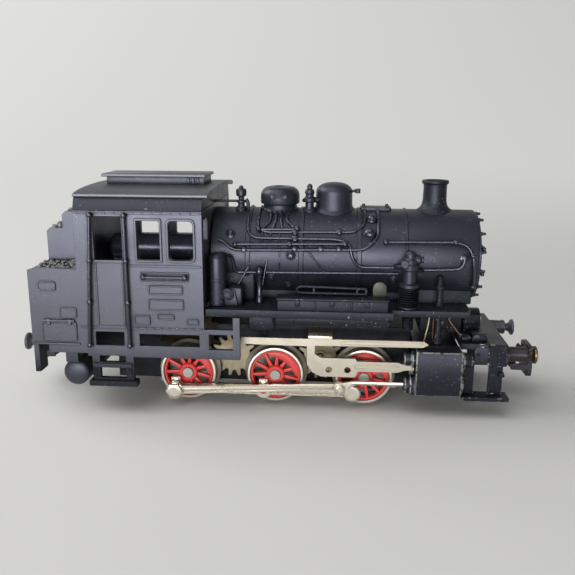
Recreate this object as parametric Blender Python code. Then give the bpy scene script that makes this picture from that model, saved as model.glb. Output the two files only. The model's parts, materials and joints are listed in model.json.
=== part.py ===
"""A model steam locomotive: an H0 tank engine on six coupled wheels, as separate pieces that fit together.

The origin lies on the table under the middle axle. +X is the chimney end, -Y the right-hand side and
+Z up. The engine stands on its wheel flanges.
"""
import math

import bmesh
import bpy
from mathutils import Matrix, Vector
from mathutils.geometry import delaunay_2d_cdt

MM = 0.001            # the sizes below are in millimetres, and each mesh is scaled to metres at the end

# Fits between pieces
SEAT_GAP = 0.2        # between faces that rest on each other
RUNNING_FIT = 0.06    # radial, round anything that turns or slides
PRESS_GAP = 0.03      # radial, round anything pressed in

# Wheels, axles and cranks
AXLE_SPACING = 19.1
FLANGE_RADIUS = 6.85
FLANGE_WIDTH = 0.9
TREAD_RADIUS = 6.15
TYRE_BORE = 5.45
TYRE_WIDTH = 3.1
WHEEL_BACK = 7.0      # half the distance between the backs of two wheels
SPOKES = 11
SPOKE_WIDTH = 0.95
SPOKE_THICKNESS = 1.5
RIM_WALL = 0.6
HUB_RADIUS = 2.4
HUB_PROUD = 0.4
AXLE_RADIUS = 1.1
AXLE_PROUD = 0.35
CRANK_THROW = 4.0
CRANK_ANGLE = 232.0   # degrees from +X towards +Z, on the right-hand side
QUARTERING = 90.0     # degrees by which the left-hand cranks are turned
CRANK_BOSS = 1.35
PIN_RADIUS = 0.75
PIN_HEAD_RADIUS = 1.85
PIN_HEAD_HEIGHT = 0.6

# Rods, outwards from the wheel face
ROD_CLEARANCE = 0.25
COUPLING_ROD_THICKNESS = 0.7
COUPLING_ROD_HEIGHT = 2.0
COUPLING_EYE = 1.8
OIL_CUP_HEIGHT = 2.6
OIL_CUP_WIDTH = 2.0
MAIN_ROD_THICKNESS = 0.7
MAIN_ROD_HEIGHT = 1.9
MAIN_ROD_LENGTH = 35.58
MAIN_ROD_RISE = 1.72  # of the crosshead end over the crank end
MAIN_EYE = 1.9
CROSSHEAD_EYE = 1.3
CROSSHEAD_THICKNESS = 0.7
RIVET_HEIGHT = 0.45
PISTON_ROD_RADIUS = 0.48
PISTON_ROD_START = 2.9     # from the crosshead's rivet
PISTON_INSERT = 1.66       # of the right-hand rod in its cylinder, at rest
PISTON_BORE_CLEARANCE = 0.14

# Gear train
AXLE_TEETH = 18
IDLER_TEETH = 14
IDLER_RISE = 2.97
REDUCTION_TEETH = 20
REDUCTION_PINION_TEETH = 8
MOTOR_PINION_TEETH = 7
REDUCTION_BEARING = 91.5   # degrees, direction of the reduction gear from the rear axle
MOTOR_BEARING = 111.5      # degrees, direction of the armature from the reduction gear
GEAR_WIDTH = 0.55
STUD_RADIUS = 0.9

# Frame, keeper plate and pickup shoe
FRAME_HALF_WIDTH = 5.5
FRAME_FRONT = 29.2
FRAME_TANK_GAP = 3.4       # from the deep part of the frame to the air tank
FRAME_TAIL = 48.5
FRAME_BOTTOM = 3.8
FRAME_TOP = 16.8
TAIL_BOTTOM = 11.3
TAIL_TOP = 15.0
KEEPER_THICKNESS = 1.0
KEEPER_OVERHANG = 7.5      # past the outer axles
SHOE_HALF_LENGTH = 17.0
SHOE_HALF_WIDTH = 2.2
SHOE_THICKNESS = 0.5
SHOE_BOTTOM = 0.4
SHOE_TRAVEL = 1.1
SHOE_POST_RADIUS = 0.8
SHOE_POST_SPACING = 20.0

# Motor and reversing relay
FIELD_LENGTH = 16.2
FIELD_AHEAD = 7.2          # of the armature's axis
FIELD_WALL = 0.85          # under the armature
FIELD_CROWN = 1.6          # over the armature
AIR_GAP = 0.3
SHAFT_RADIUS = 0.75
BRUSH_PLATE_THICKNESS = 1.2
RELAY_RADIUS = 3.1
RELAY_REAR = 37.8
RELAY_FRONT = 15.6

# Cylinders, platform, buffers and couplers
CYLINDER_REAR = 29.5
CYLINDER_FRONT = 38.8
CYLINDER_OUTER = 15.5
CYLINDER_INNER = 10.4
CYLINDER_BOTTOM = 5.0
CYLINDER_TOP = 14.7
CYLINDER_WEB_BOTTOM = 9.5
GLAND_RADIUS = 2.4
GLAND_LENGTH = 2.1
VALVE_RADIUS = 1.35
VALVE_HEIGHT = 12.5
VALVE_LENGTH = 2.3
PLATFORM_TOP = 15.65
PLATFORM_THICKNESS = 1.3
BEAM_FRONT = 48.5
BEAM_DEPTH = 3.8
BEAM_BOTTOM = 10.9
BEAM_HALF_WIDTH = 12.2
STEP_BOARD_BOTTOM = 4.0
STEP_BOARD_THICKNESS = 0.8
STEP_BOARD_OUTER = 14.6
STEP_POST_WIDTH = 2.8
REAR_POST_WIDTH = 2.0
STEP_POST_THICKNESS = 1.1
LAMP_REAR = 41.0
LAMP_FRONT = 44.4
LAMP_HALF_WIDTH = 2.7
LAMP_TOP = 19.2
BULB_RADIUS = 1.4
BUFFER_FACE = 55.0
BUFFER_HEIGHT = 13.0
BUFFER_SPREAD = 10.0
BUFFER_HEAD = 1.88
BUFFER_SLEEVE = 1.55
BUFFER_SHANK = 0.95
COUPLER_SETBACK = 1.9      # of the pivot from the beam or the frame's tail
COUPLER_END = 1.3          # of the bar behind its pivot
COUPLER_HINGE_SETBACK = 2.2
COUPLER_HINGE_DROP = 0.5
COUPLER_EYE = 0.9
LOOP_PIN_RADIUS = 0.45
STUD_DEPTH = 1.6
STUD_END_GAP = 0.2
COUPLER_HEIGHT = 9.2
COUPLER_WIDTH = 2.6
COUPLER_THICKNESS = 0.9
COUPLER_REACH = 8.0        # from the pivot to the hook
LOOP_HALF_WIDTH = 3.6
LOOP_WIRE = 0.9
LOOP_REACH = 3.8
LOOP_BOTTOM = 5.4
LOOP_TOP = 12.4

# Boiler and running boards
BOILER_RADIUS = 9.75
BOILER_HEIGHT = 32.2
BOILER_WALL = 1.5
BOILER_REAR = -13.65
SMOKEBOX_FRONT = 42.05
SMOKEBOX_DOOR_RADIUS = 8.6
SMOKEBOX_DOOR_DEPTH = 1.1
BOARD_TOP = 23.1
BOARD_THICKNESS = 1.35
BOARD_INSET = 0.5          # of the boards from the cab sides
BOARD_BREAK = 24.2         # ahead of this the boards are narrower
FRONT_BOARD_INSET = 2.6    # of the narrow boards from the wide ones
BOARD_FRONT = 40.2
SADDLE_HALF_WIDTH = 6.4
SADDLE_REAR = 31.0
TOOLBOX_REAR = 1.0
TOOLBOX_FRONT = 23.2
TOOLBOX_TOP = 25.7
TOOLBOX_DEPTH = 3.6
SIDE_TANK_RADIUS = 1.75
BODY_POST_HALF_LENGTH = 2.6
BODY_POST_HALF_WIDTH = 3.2
CHIMNEY_X = 33.5
CHIMNEY_TOP = 48.25
CHIMNEY_RADIUS = 2.5
CHIMNEY_RIM = 2.85
CHIMNEY_BORE = 2.05
CHIMNEY_FLARE = 3.7
STEAM_DOME_X = 11.95
STEAM_DOME_RADIUS = 3.93
STEAM_DOME_TOP = 47.65
SAND_DOME_X = 0.2
SAND_DOME_NECK = 3.55
SAND_DOME_BRIM = 4.22
SAND_DOME_BRIM_BOTTOM = 43.5
SAND_DOME_TOP = 46.6
SCREW_RADIUS = 0.7
SCREW_HEAD = 1.15
SCREW_HEAD_TOP = 45.3
SCREW_TIP = 12.2
PUMP_X = 27.6
PUMP_Y = 12.3
PUMP_RADIUS = 2.0
PUMP_TOP = 35.0
PUMP_STUB_RADIUS = 1.2
PUMP_STUB_DROP = 3.1       # under the running board
FIREBOX_FRONT = -4.4
FIREBOX_HALF_WIDTH = 9.2
STEAM_PIPE_X = 34.2
STEAM_PIPE_Y = 10.2
STEAM_PIPE_RADIUS = 0.7
STEAM_PIPE_TOP = 27.0
SANDBOX = (-5.6, 0.2)      # along the boards
SANDBOX_BOTTOM = 17.7
SANDBOX_INNER = 10.6
SANDBOX_OUTER = 13.6
VALVE_BOX_FRONT = -6.6      # on the right-hand board, ahead of the feed tank
VALVE_BOX_TOP = 26.9
VALVE_BOX_OUTER = 13.6
FITTING_Y = -2.0
SAFETY_VALVE_X = 6.7
SAFETY_VALVE_RADIUS = 1.3
SAFETY_VALVE_TOP = 47.4
WHISTLE_X = -8.1
WHISTLE_RADIUS = 1.15
WHISTLE_TOP = 46.9
FEED_TANK_X = -11.7
FEED_TANK_Y = 13.0
FEED_TANK_RADIUS = 1.87
FEED_TANK_TOP = 34.2

# Cab and bunker
CAB_FRONT = -13.9
CAB_REAR = -39.8
CAB_HALF_WIDTH = 17.5
CAB_WALL = 1.0
CAB_SIDE_BOTTOM = 18.9
CAB_SIDE_TOP = 42.95
EAVE_RISE = 2.75           # over the top of the cab sides
EAVE_LEAN = 1.15           # of the upper side towards the middle
EAVE_LIP = 0.5
EAVE_THICKNESS = 0.4
ROOF_RISE = 1.1
ROOF_WALL = 1.0
ROOF_OVERHANG = 1.2
VENT_REAR = -37.7
VENT_FRONT = -15.4
VENT_HALF_WIDTH = 5.0
VENT_RISE = 2.05           # over the crown of the roof
VENT_PLATE = 0.55
GABLE_WALL = 0.8
VENT_INSET = 0.9
WINDOW_BOTTOM = 33.2
WINDOW_TOP = 41.1
REAR_WINDOW = (-27.0, -22.4)
FRONT_WINDOW = (-20.6, -15.7)
WINDOW_CORNER = 0.9
DOORWAY = (-35.9, -30.05)
DOORWAY_BOTTOM = 32.9
DOORWAY_TOP = 41.9
SPECTACLE_WIDTH = 4.4
SPECTACLE_MARGIN = 0.9     # from the inner face of the cab side
SPECTACLE_BOTTOM = 36.4
SILL_BOTTOM = 12.6
SILL_TOP = 14.6
SILL_FRONT = -6.6
LOWER_OPENING = (-27.4, -14.9)
LOWER_OPENING_TOP = 17.7
POST_WIDTH = 1.4
STEP_REAR = -37.6
STEP_FRONT = -28.9
STEP_BOTTOM = 6.5
STEP_STILE = 1.6
STEP_TREAD = 10.35
STEP_TREAD_THICKNESS = 0.8
STEP_PROUD = 0.7
BUNKER_REAR = -50.1
BUNKER_BOTTOM = 15.0
BUNKER_SKIRT = 13.2
BUNKER_SKIRT_REAR = -46.7
BUNKER_SIDE_TOP = 31.0
BUNKER_REAR_TOP = 30.7
BUNKER_SLOPE_START = -48.6
COAL_DECK_BOTTOM = 29.4
COAL_DECK_THICKNESS = 1.0
COAL_BOX_HALF_WIDTH = 9.6
COAL_BOX_REAR = -48.7
COAL_BOX_LOW = 38.2
COAL_BOX_HIGH = 41.7
COAL_BOX_STEP = -45.2      # where the heap steps up against the cab
COAL_BOX_EASE = 0.7
CAB_SEAT_LENGTH = 3.1
CAB_SEAT_HEIGHT = 2.8
GUARD_BOTTOM = 8.8
GUARD_WIDTH = 3.8
AIR_TANK_SETBACK = 6.3     # from the frame's tail
AIR_TANK_HEIGHT = 7.9
AIR_TANK_RADIUS = 2.8
AIR_TANK_HALF_LENGTH = 15.6
TANK_HANGER_WIDTH = 2.6
TANK_HANGER_THICKNESS = 1.4

# Motion bracket, heights from the table
BRACKET_THICKNESS = 0.7
BRACKET_REAR = -6.8
BRACKET_HANGER = 7.0
BRACKET_PLATE = (9.9, 17.1)
BRACKET_PLATE_BOTTOM = 8.2
BRACKET_PLATE_TOP = 12.3
BRACKET_BAR_BOTTOM = 14.95
BRACKET_BAR_TOP = 16.4
BRACKET_BAR_FRONT = 32.0
SLIDE_BAR_BOTTOM = 9.5
SLIDE_BAR_TOP = 11.7
BRACKET_HOLE = 0.7

SEGMENTS = 24
SMALL_SEGMENTS = 12

# Places that follow from the sizes above
WHEEL_HEIGHT = FLANGE_RADIUS
WHEEL_FACE = WHEEL_BACK + TYRE_WIDTH
SPOKE_FACE = WHEEL_FACE - 0.3
SPOKE_BACK = SPOKE_FACE - SPOKE_THICKNESS
HUB_FACE = SPOKE_FACE + HUB_PROUD
AXLE_END = HUB_FACE + AXLE_PROUD
COUPLING_ROD_INNER = AXLE_END + ROD_CLEARANCE
COUPLING_ROD_OUTER = COUPLING_ROD_INNER + COUPLING_ROD_THICKNESS
PIN_HEAD_INNER = COUPLING_ROD_OUTER + RUNNING_FIT
PIN_HEAD_OUTER = PIN_HEAD_INNER + PIN_HEAD_HEIGHT
MAIN_ROD_INNER = PIN_HEAD_OUTER + RUNNING_FIT
MAIN_ROD_OUTER = MAIN_ROD_INNER + MAIN_ROD_THICKNESS
CROSSHEAD_INNER = MAIN_ROD_OUTER + SEAT_GAP
CROSSHEAD_OUTER = CROSSHEAD_INNER + CROSSHEAD_THICKNESS
PISTON_Y = (CROSSHEAD_INNER + CROSSHEAD_OUTER) / 2
PISTON_HEIGHT = WHEEL_HEIGHT
AXLES = {"rear": -AXLE_SPACING, "middle": 0.0, "front": AXLE_SPACING}
SIDES = {"right": -1, "left": 1}

GEAR_DISTANCE = math.hypot(AXLE_SPACING / 2, IDLER_RISE)
MODULE = 2 * GEAR_DISTANCE / (AXLE_TEETH + IDLER_TEETH)
GEAR_INNER = FRAME_HALF_WIDTH + SEAT_GAP
GEAR_OUTER = GEAR_INNER + GEAR_WIDTH
SECOND_GEAR_INNER = GEAR_OUTER + RUNNING_FIT
SECOND_GEAR_OUTER = SECOND_GEAR_INNER + GEAR_WIDTH
REDUCTION_DISTANCE = MODULE * (AXLE_TEETH + REDUCTION_PINION_TEETH) / 2
MOTOR_DISTANCE = MODULE * (REDUCTION_TEETH + MOTOR_PINION_TEETH) / 2
REDUCTION_X = -AXLE_SPACING + REDUCTION_DISTANCE * math.cos(math.radians(REDUCTION_BEARING))
REDUCTION_Z = WHEEL_HEIGHT + REDUCTION_DISTANCE * math.sin(math.radians(REDUCTION_BEARING))
ARMATURE_X = REDUCTION_X + MOTOR_DISTANCE * math.cos(math.radians(MOTOR_BEARING))
ARMATURE_Z = REDUCTION_Z + MOTOR_DISTANCE * math.sin(math.radians(MOTOR_BEARING))

KEEPER_TOP = FRAME_BOTTOM - SEAT_GAP
KEEPER_BOTTOM = KEEPER_TOP - KEEPER_THICKNESS
FIELD_BOTTOM = FRAME_TOP + SEAT_GAP
FIELD_BORE = ARMATURE_Z - FIELD_BOTTOM - FIELD_WALL
FIELD_TOP = ARMATURE_Z + FIELD_BORE + FIELD_CROWN
ROTOR_RADIUS = FIELD_BORE - AIR_GAP
FIELD_HALF_WIDTH = FRAME_HALF_WIDTH - 0.1
RELAY_HEIGHT = FIELD_TOP + SEAT_GAP + RELAY_RADIUS
BOARD_BOTTOM = BOARD_TOP - BOARD_THICKNESS
BOILER_TOP = BOILER_HEIGHT + BOILER_RADIUS
CAB_INNER = CAB_HALF_WIDTH - CAB_WALL
BEAM_REAR = BEAM_FRONT - BEAM_DEPTH
BOARD_HALF_WIDTH = CAB_HALF_WIDTH - BOARD_INSET
FRONT_BOARD_HALF_WIDTH = BOARD_HALF_WIDTH - FRONT_BOARD_INSET
EAVE_HEIGHT = CAB_SIDE_TOP + EAVE_RISE
EAVE_HALF_WIDTH = CAB_HALF_WIDTH - EAVE_LEAN
CROWN_HEIGHT = EAVE_HEIGHT + EAVE_THICKNESS + ROOF_RISE
VENT_TOP = CROWN_HEIGHT + VENT_RISE
SPECTACLE_OUTER = CAB_INNER - SPECTACLE_MARGIN
SPECTACLE_INNER = SPECTACLE_OUTER - SPECTACLE_WIDTH
AIR_TANK_X = AIR_TANK_SETBACK - FRAME_TAIL
FRAME_REAR = -AIR_TANK_X - AIR_TANK_RADIUS - FRAME_TANK_GAP
COUPLER_PIVOTS = {"front": BEAM_FRONT - COUPLER_SETBACK, "rear": FRAME_TAIL - COUPLER_SETBACK}
PLATFORM_REAR = CYLINDER_FRONT + SEAT_GAP


def place(axis, a, b, along):
    """Put two coordinates across an axis, and one along it, in x, y, z order."""
    if axis == "X":
        return (along, a, b)
    if axis == "Y":
        return (a, along, b)
    return (a, b, along)


def closed_mesh(shape):
    """Turn a closed bmesh into a mesh whose faces all point outwards."""
    bmesh.ops.recalc_face_normals(shape, faces=shape.faces)
    mesh = bpy.data.meshes.new("shape")
    shape.to_mesh(mesh)
    shape.free()
    return mesh


def covered(spot, points, edges):
    """True where a spot lies within the outline and outside its holes: an odd count of edges to its right."""
    count = 0
    for i, j in edges:
        (a0, b0), (a1, b1) = points[i], points[j]
        if (b0 > spot[1]) != (b1 > spot[1]) and spot[0] < a0 + (spot[1] - b0) * (a1 - a0) / (b1 - b0):
            count += 1
    return count % 2 == 1


def plate(outline, axis, start, end, holes=()):
    """A flat outline with any holes, carried straight along an axis."""
    loops = [list(outline)] + [list(hole) for hole in holes]
    points = [pair for loop in loops for pair in loop]
    edges = []
    for loop in loops:
        first = len(edges)
        edges += [(first + i, first + (i + 1) % len(loop)) for i in range(len(loop))]
    filled = delaunay_2d_cdt([Vector(pair) for pair in points], edges, [], 0, 1e-6)
    faces = [[filled[3][i][0] for i in corners] for corners in filled[2]]
    shape = bmesh.new()
    near = [shape.verts.new(place(axis, a, b, start)) for a, b in points]
    far = [shape.verts.new(place(axis, a, b, end)) for a, b in points]
    for corners in faces:
        if covered([sum(points[i][k] for i in corners) / 3 for k in (0, 1)], points, edges):
            shape.faces.new([near[i] for i in corners])
            shape.faces.new([far[i] for i in reversed(corners)])
    for i, j in edges:
        shape.faces.new((near[i], near[j], far[j], far[i]))
    return closed_mesh(shape)


def turned(profile, axis, centre, segments=SEGMENTS, ring=False):
    """Radius and distance pairs spun about an axis; a ring's profile closes on itself."""
    shape = bmesh.new()
    rows = []
    for radius, along in profile:
        turns = [2 * math.pi * k / segments for k in range(segments)] if radius > 0 else [0.0]
        rows.append([shape.verts.new(place(axis, centre[0] + radius * math.cos(t),
                                           centre[1] + radius * math.sin(t), along)) for t in turns])
    pairs = list(zip(rows, rows[1:] + rows[:1])) if ring else list(zip(rows, rows[1:]))
    for lower, upper in pairs:
        for k in range(segments):
            n = (k + 1) % segments
            corners = [lower[k % len(lower)], lower[n % len(lower)], upper[n % len(upper)],
                       upper[k % len(upper)]]
            shape.faces.new(list(dict.fromkeys(corners)))
    return closed_mesh(shape)


def cylinder(axis, centre, radius, start, end, segments=SEGMENTS):
    """A plain round bar."""
    return turned([(0, start), (radius, start), (radius, end), (0, end)], axis, centre, segments)


def block(x_range, y_range, z_range):
    """A plain box."""
    shape = bmesh.new()
    bmesh.ops.create_cube(shape, size=1.0)
    for vertex in shape.verts:
        ends = (x_range, y_range, z_range)
        vertex.co = [ends[k][0] if vertex.co[k] < 0 else ends[k][1] for k in range(3)]
    return closed_mesh(shape)


def arc(centre, radius, start, end, steps):
    """Points on a circle between two angles in degrees, both ends included."""
    angles = [math.radians(start + (end - start) * k / steps) for k in range(steps + 1)]
    return [(centre[0] + radius * math.cos(a), centre[1] + radius * math.sin(a)) for a in angles]


def circle(centre, radius, segments=SMALL_SEGMENTS):
    """Points all round a circle."""
    return arc(centre, radius, 0, 360, segments)[:-1]


def rectangle(a_range, b_range, corner=0.0):
    """Four corners, each cut off or rounded by the corner size."""
    (a0, a1), (b0, b1) = a_range, b_range
    if corner == 0:
        return [(a0, b0), (a1, b0), (a1, b1), (a0, b1)]
    centres = [(a1 - corner, b0 + corner, -90), (a1 - corner, b1 - corner, 0),
               (a0 + corner, b1 - corner, 90), (a0 + corner, b0 + corner, 180)]
    return [p for a, b, turn in centres for p in arc((a, b), corner, turn, turn + 90, 2)]


def boolean(base, tools, operation):
    """A mesh joined with the tool meshes, or cut by them, one after another."""
    holder = bpy.data.objects.new("holder", base)
    bpy.context.scene.collection.objects.link(holder)
    others = []
    for tool in tools:
        other = bpy.data.objects.new("tool", tool)
        bpy.context.scene.collection.objects.link(other)
        modifier = holder.modifiers.new(operation, "BOOLEAN")
        modifier.operation = operation
        modifier.object = other
        others.append(other)
    bpy.context.view_layer.update()
    depsgraph = bpy.context.evaluated_depsgraph_get()
    result = bpy.data.meshes.new_from_object(holder.evaluated_get(depsgraph))
    for used in [holder] + others:
        bpy.data.objects.remove(used)
    return result


def joined(base, *tools):
    return boolean(base, tools, "UNION")


def cut(base, *tools):
    return boolean(base, tools, "DIFFERENCE")


def moved(mesh, x=0.0, y=0.0, z=0.0):
    copy = mesh.copy()
    copy.transform(Matrix.Translation((x, y, z)))
    return copy


FINISHES = {
    "black_paint": ((0.030, 0.032, 0.038), 0.0, 0.42),
    "nickel_plate": ((0.62, 0.58, 0.50), 1.0, 0.28),
    "red_paint": ((0.55, 0.045, 0.035), 0.0, 0.45),
    "zinc": ((0.42, 0.41, 0.38), 1.0, 0.42),
    "steel": ((0.50, 0.49, 0.47), 1.0, 0.30),
    "brass": ((0.60, 0.42, 0.16), 1.0, 0.32),
    "worn_brass": ((0.22, 0.14, 0.10), 0.8, 0.40),
    "grey_enamel": ((0.16, 0.18, 0.22), 0.0, 0.38),
    "brown_board": ((0.16, 0.07, 0.03), 0.0, 0.55),
    "lamp_glass": ((0.80, 0.80, 0.76), 0.0, 0.15),
}


def finished(name, mesh, finish, origin=(0.0, 0.0, 0.0)):
    """Place a piece: its mesh in metres about its origin, with a material of its own."""
    mesh.transform(Matrix.Scale(MM, 4) @ Matrix.Translation([-c for c in origin]))
    mesh.name = name
    colour, metallic, roughness = FINISHES[finish]
    material = bpy.data.materials.new(name + "_" + finish)
    material.use_nodes = True
    shader = material.node_tree.nodes["Principled BSDF"]
    shader.inputs["Base Color"].default_value = (*colour, 1.0)
    shader.inputs["Metallic"].default_value = metallic
    shader.inputs["Roughness"].default_value = roughness
    mesh.materials.clear()
    mesh.materials.append(material)
    mesh.shade_smooth()
    mesh.set_sharp_from_angle(angle=math.radians(35))
    piece = bpy.data.objects.new(name, mesh)
    piece.location = [c * MM for c in origin]
    bpy.context.scene.collection.objects.link(piece)
    return piece


def crank_point(side):
    """The crank pin's place from its axle, as distances along X and Z."""
    angle = math.radians(CRANK_ANGLE + (QUARTERING if side > 0 else 0.0))
    return CRANK_THROW * math.cos(angle), CRANK_THROW * math.sin(angle)


def gear_outline(centre, teeth, phase):
    """Straight-flanked teeth round a centre; phase is the angle of one tooth's middle."""
    pitch = MODULE * teeth / 2
    root, tip = pitch - 1.2 * MODULE, pitch + 0.9 * MODULE
    step = 2 * math.pi / teeth
    corners = ((-0.32, root), (-0.11, tip), (0.11, tip), (0.32, root))
    return [(centre[0] + radius * math.cos(phase + (k + share) * step),
             centre[1] + radius * math.sin(phase + (k + share) * step))
            for k in range(teeth) for share, radius in corners]


def meshing_phase(centre, teeth, phase, other, other_teeth):
    """The phase that puts the other gear's gap opposite this gear's tooth, on the line between them."""
    line = math.atan2(other[1] - centre[1], other[0] - centre[0])
    along_pitch = (line - phase) * teeth / (2 * math.pi)
    return line + math.pi - (0.5 - along_pitch) * 2 * math.pi / other_teeth


def spoked_centre(side):
    """A wheel's cast centre about its own axle: rim, spokes, balance weight, hub and crank boss."""
    turn = math.degrees(math.atan2(crank_point(side)[1], crank_point(side)[0]))
    outer = TYRE_BORE - PRESS_GAP
    rim = outer - RIM_WALL
    weight = (HUB_RADIUS + rim) / 2
    holes = []
    for k in range(SPOKES):
        middle = 180.0 + 360.0 * (k + 0.5) / SPOKES
        from_weight = abs((middle + 360.0 - 180.0 + 180.0) % 360.0 - 180.0)
        if from_weight > 180.0 - 180.0 / SPOKES:
            continue
        reach = weight if from_weight < 56.0 else rim
        start = HUB_RADIUS + 0.1
        half = 180.0 / SPOKES
        inner = half - math.degrees(math.asin(SPOKE_WIDTH / 2 / start))
        wide = half - math.degrees(math.asin(SPOKE_WIDTH / 2 / reach))
        edge = arc((0, 0), reach, turn + middle - wide, turn + middle + wide, 2)
        foot = arc((0, 0), start, turn + middle + inner, turn + middle - inner, 1)
        holes.append(edge + foot)
    faces = (side * SPOKE_BACK, side * SPOKE_FACE)
    disc = plate(circle((0, 0), outer, SEGMENTS), "Y", *faces, holes=holes)
    pin = crank_point(side)
    hub = cylinder("Y", (0, 0), HUB_RADIUS, side * (SPOKE_BACK - 0.6), side * HUB_FACE, SMALL_SEGMENTS)
    boss = cylinder("Y", pin, CRANK_BOSS, side * (SPOKE_BACK + 0.2), side * (SPOKE_FACE + 0.2),
                    SMALL_SEGMENTS)
    bore = cylinder("Y", (0, 0), AXLE_RADIUS + PRESS_GAP, side * WHEEL_BACK / 2, side * (AXLE_END + 1),
                    SMALL_SEGMENTS)
    return cut(joined(disc, hub, boss), bore)


def build_wheelsets():
    """Three axles with their gears, six tyres, six spoked centres and the crank pins."""
    profile = [(TYRE_BORE, WHEEL_BACK), (FLANGE_RADIUS, WHEEL_BACK + 0.1),
               (FLANGE_RADIUS, WHEEL_BACK + FLANGE_WIDTH / 2), (TREAD_RADIUS, WHEEL_BACK + FLANGE_WIDTH),
               (TREAD_RADIUS, WHEEL_FACE), (TYRE_BORE, WHEEL_FACE)]
    for side_name, side in SIDES.items():
        centre = spoked_centre(side)
        pin = crank_point(side)
        pin_bore = cylinder("Y", pin, PIN_RADIUS + PRESS_GAP, side * WHEEL_BACK, side * MAIN_ROD_INNER,
                            SMALL_SEGMENTS)
        drilled = cut(centre.copy(), pin_bore)
        plain_pin = cylinder("Y", pin, PIN_RADIUS, side * (SPOKE_BACK + 0.4), side * COUPLING_ROD_OUTER,
                             SMALL_SEGMENTS)
        pinned = joined(centre.copy(), plain_pin)
        for axle_name, x in AXLES.items():
            origin = (x, 0.0, WHEEL_HEIGHT)
            tyre = turned([(r, side * y) for r, y in profile], "Y", (x, WHEEL_HEIGHT), ring=True)
            finished(f"tyre_{axle_name}_{side_name}", tyre, "nickel_plate", origin)
            shape = pinned if axle_name == "middle" else drilled
            finished(f"wheel_centre_{axle_name}_{side_name}", moved(shape, x, 0, WHEEL_HEIGHT),
                     "red_paint", origin)
        build_crank_pins(side_name, side, pin)


def build_crank_pins(side_name, side, pin):
    """The rear pin is a hexagon-headed screw that also holds the main rod; the front one has a round head."""
    start = SPOKE_BACK + 0.2
    rear = (-AXLE_SPACING + pin[0], WHEEL_HEIGHT + pin[1])
    collar = PIN_RADIUS + 0.55
    shank = [(0, start), (PIN_RADIUS, start), (PIN_RADIUS, PIN_HEAD_INNER), (collar, PIN_HEAD_INNER),
             (collar, PIN_HEAD_OUTER), (PIN_RADIUS, PIN_HEAD_OUTER), (PIN_RADIUS, CROSSHEAD_INNER),
             (0, CROSSHEAD_INNER)]
    screw = turned([(r, side * y) for r, y in shank], "Y", rear, SMALL_SEGMENTS)
    hexagon = cylinder("Y", rear, PIN_HEAD_RADIUS, side * (MAIN_ROD_OUTER + RUNNING_FIT),
                       side * (MAIN_ROD_OUTER + RUNNING_FIT + 1.0), 6)
    finished(f"crank_screw_rear_{side_name}", joined(screw, hexagon), "steel",
             (-AXLE_SPACING, 0.0, WHEEL_HEIGHT))
    front = (AXLE_SPACING + pin[0], WHEEL_HEIGHT + pin[1])
    rim = PIN_HEAD_RADIUS
    stud = [(0, start), (PIN_RADIUS, start), (PIN_RADIUS, PIN_HEAD_INNER), (rim, PIN_HEAD_INNER),
            (rim, PIN_HEAD_OUTER - 0.2), (rim - 0.3, PIN_HEAD_OUTER), (0, PIN_HEAD_OUTER)]
    finished(f"crank_pin_front_{side_name}", turned([(r, side * y) for r, y in stud], "Y", front,
                                                    SMALL_SEGMENTS + 4),
             "steel", (AXLE_SPACING, 0.0, WHEEL_HEIGHT))


def build_gears():
    """The gear train on the right-hand side of the frame, from the armature's pinion to the three axles."""
    idler_height = WHEEL_HEIGHT + IDLER_RISE
    train = [((-AXLE_SPACING, WHEEL_HEIGHT), AXLE_TEETH), ((-AXLE_SPACING / 2, idler_height), IDLER_TEETH),
             ((0.0, WHEEL_HEIGHT), AXLE_TEETH), ((AXLE_SPACING / 2, idler_height), IDLER_TEETH),
             ((AXLE_SPACING, WHEEL_HEIGHT), AXLE_TEETH)]
    phases = [0.0]
    for (here, teeth), (there, more) in zip(train, train[1:]):
        phases.append(meshing_phase(here, teeth, phases[-1], there, more))
    layer = (-GEAR_INNER, -GEAR_OUTER)
    for axle_name, index in (("rear", 0), ("middle", 2), ("front", 4)):
        centre, teeth = train[index]
        shaft = cylinder("Y", centre, AXLE_RADIUS, -AXLE_END, AXLE_END, SMALL_SEGMENTS)
        gear = plate(gear_outline(centre, teeth, phases[index]), "Y", *layer)
        finished(f"axle_{axle_name}", joined(shaft, gear), "steel", (centre[0], 0.0, centre[1]))
    for idler_name, index in (("rear", 1), ("front", 3)):
        centre, teeth = train[index]
        bore = circle(centre, STUD_RADIUS + RUNNING_FIT)
        gear = plate(gear_outline(centre, teeth, phases[index]), "Y", *layer, holes=[bore])
        finished(f"idler_gear_{idler_name}", gear, "brass", (centre[0], 0.0, centre[1]))
    build_reduction(train[0][0], phases[0], layer)


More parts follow.
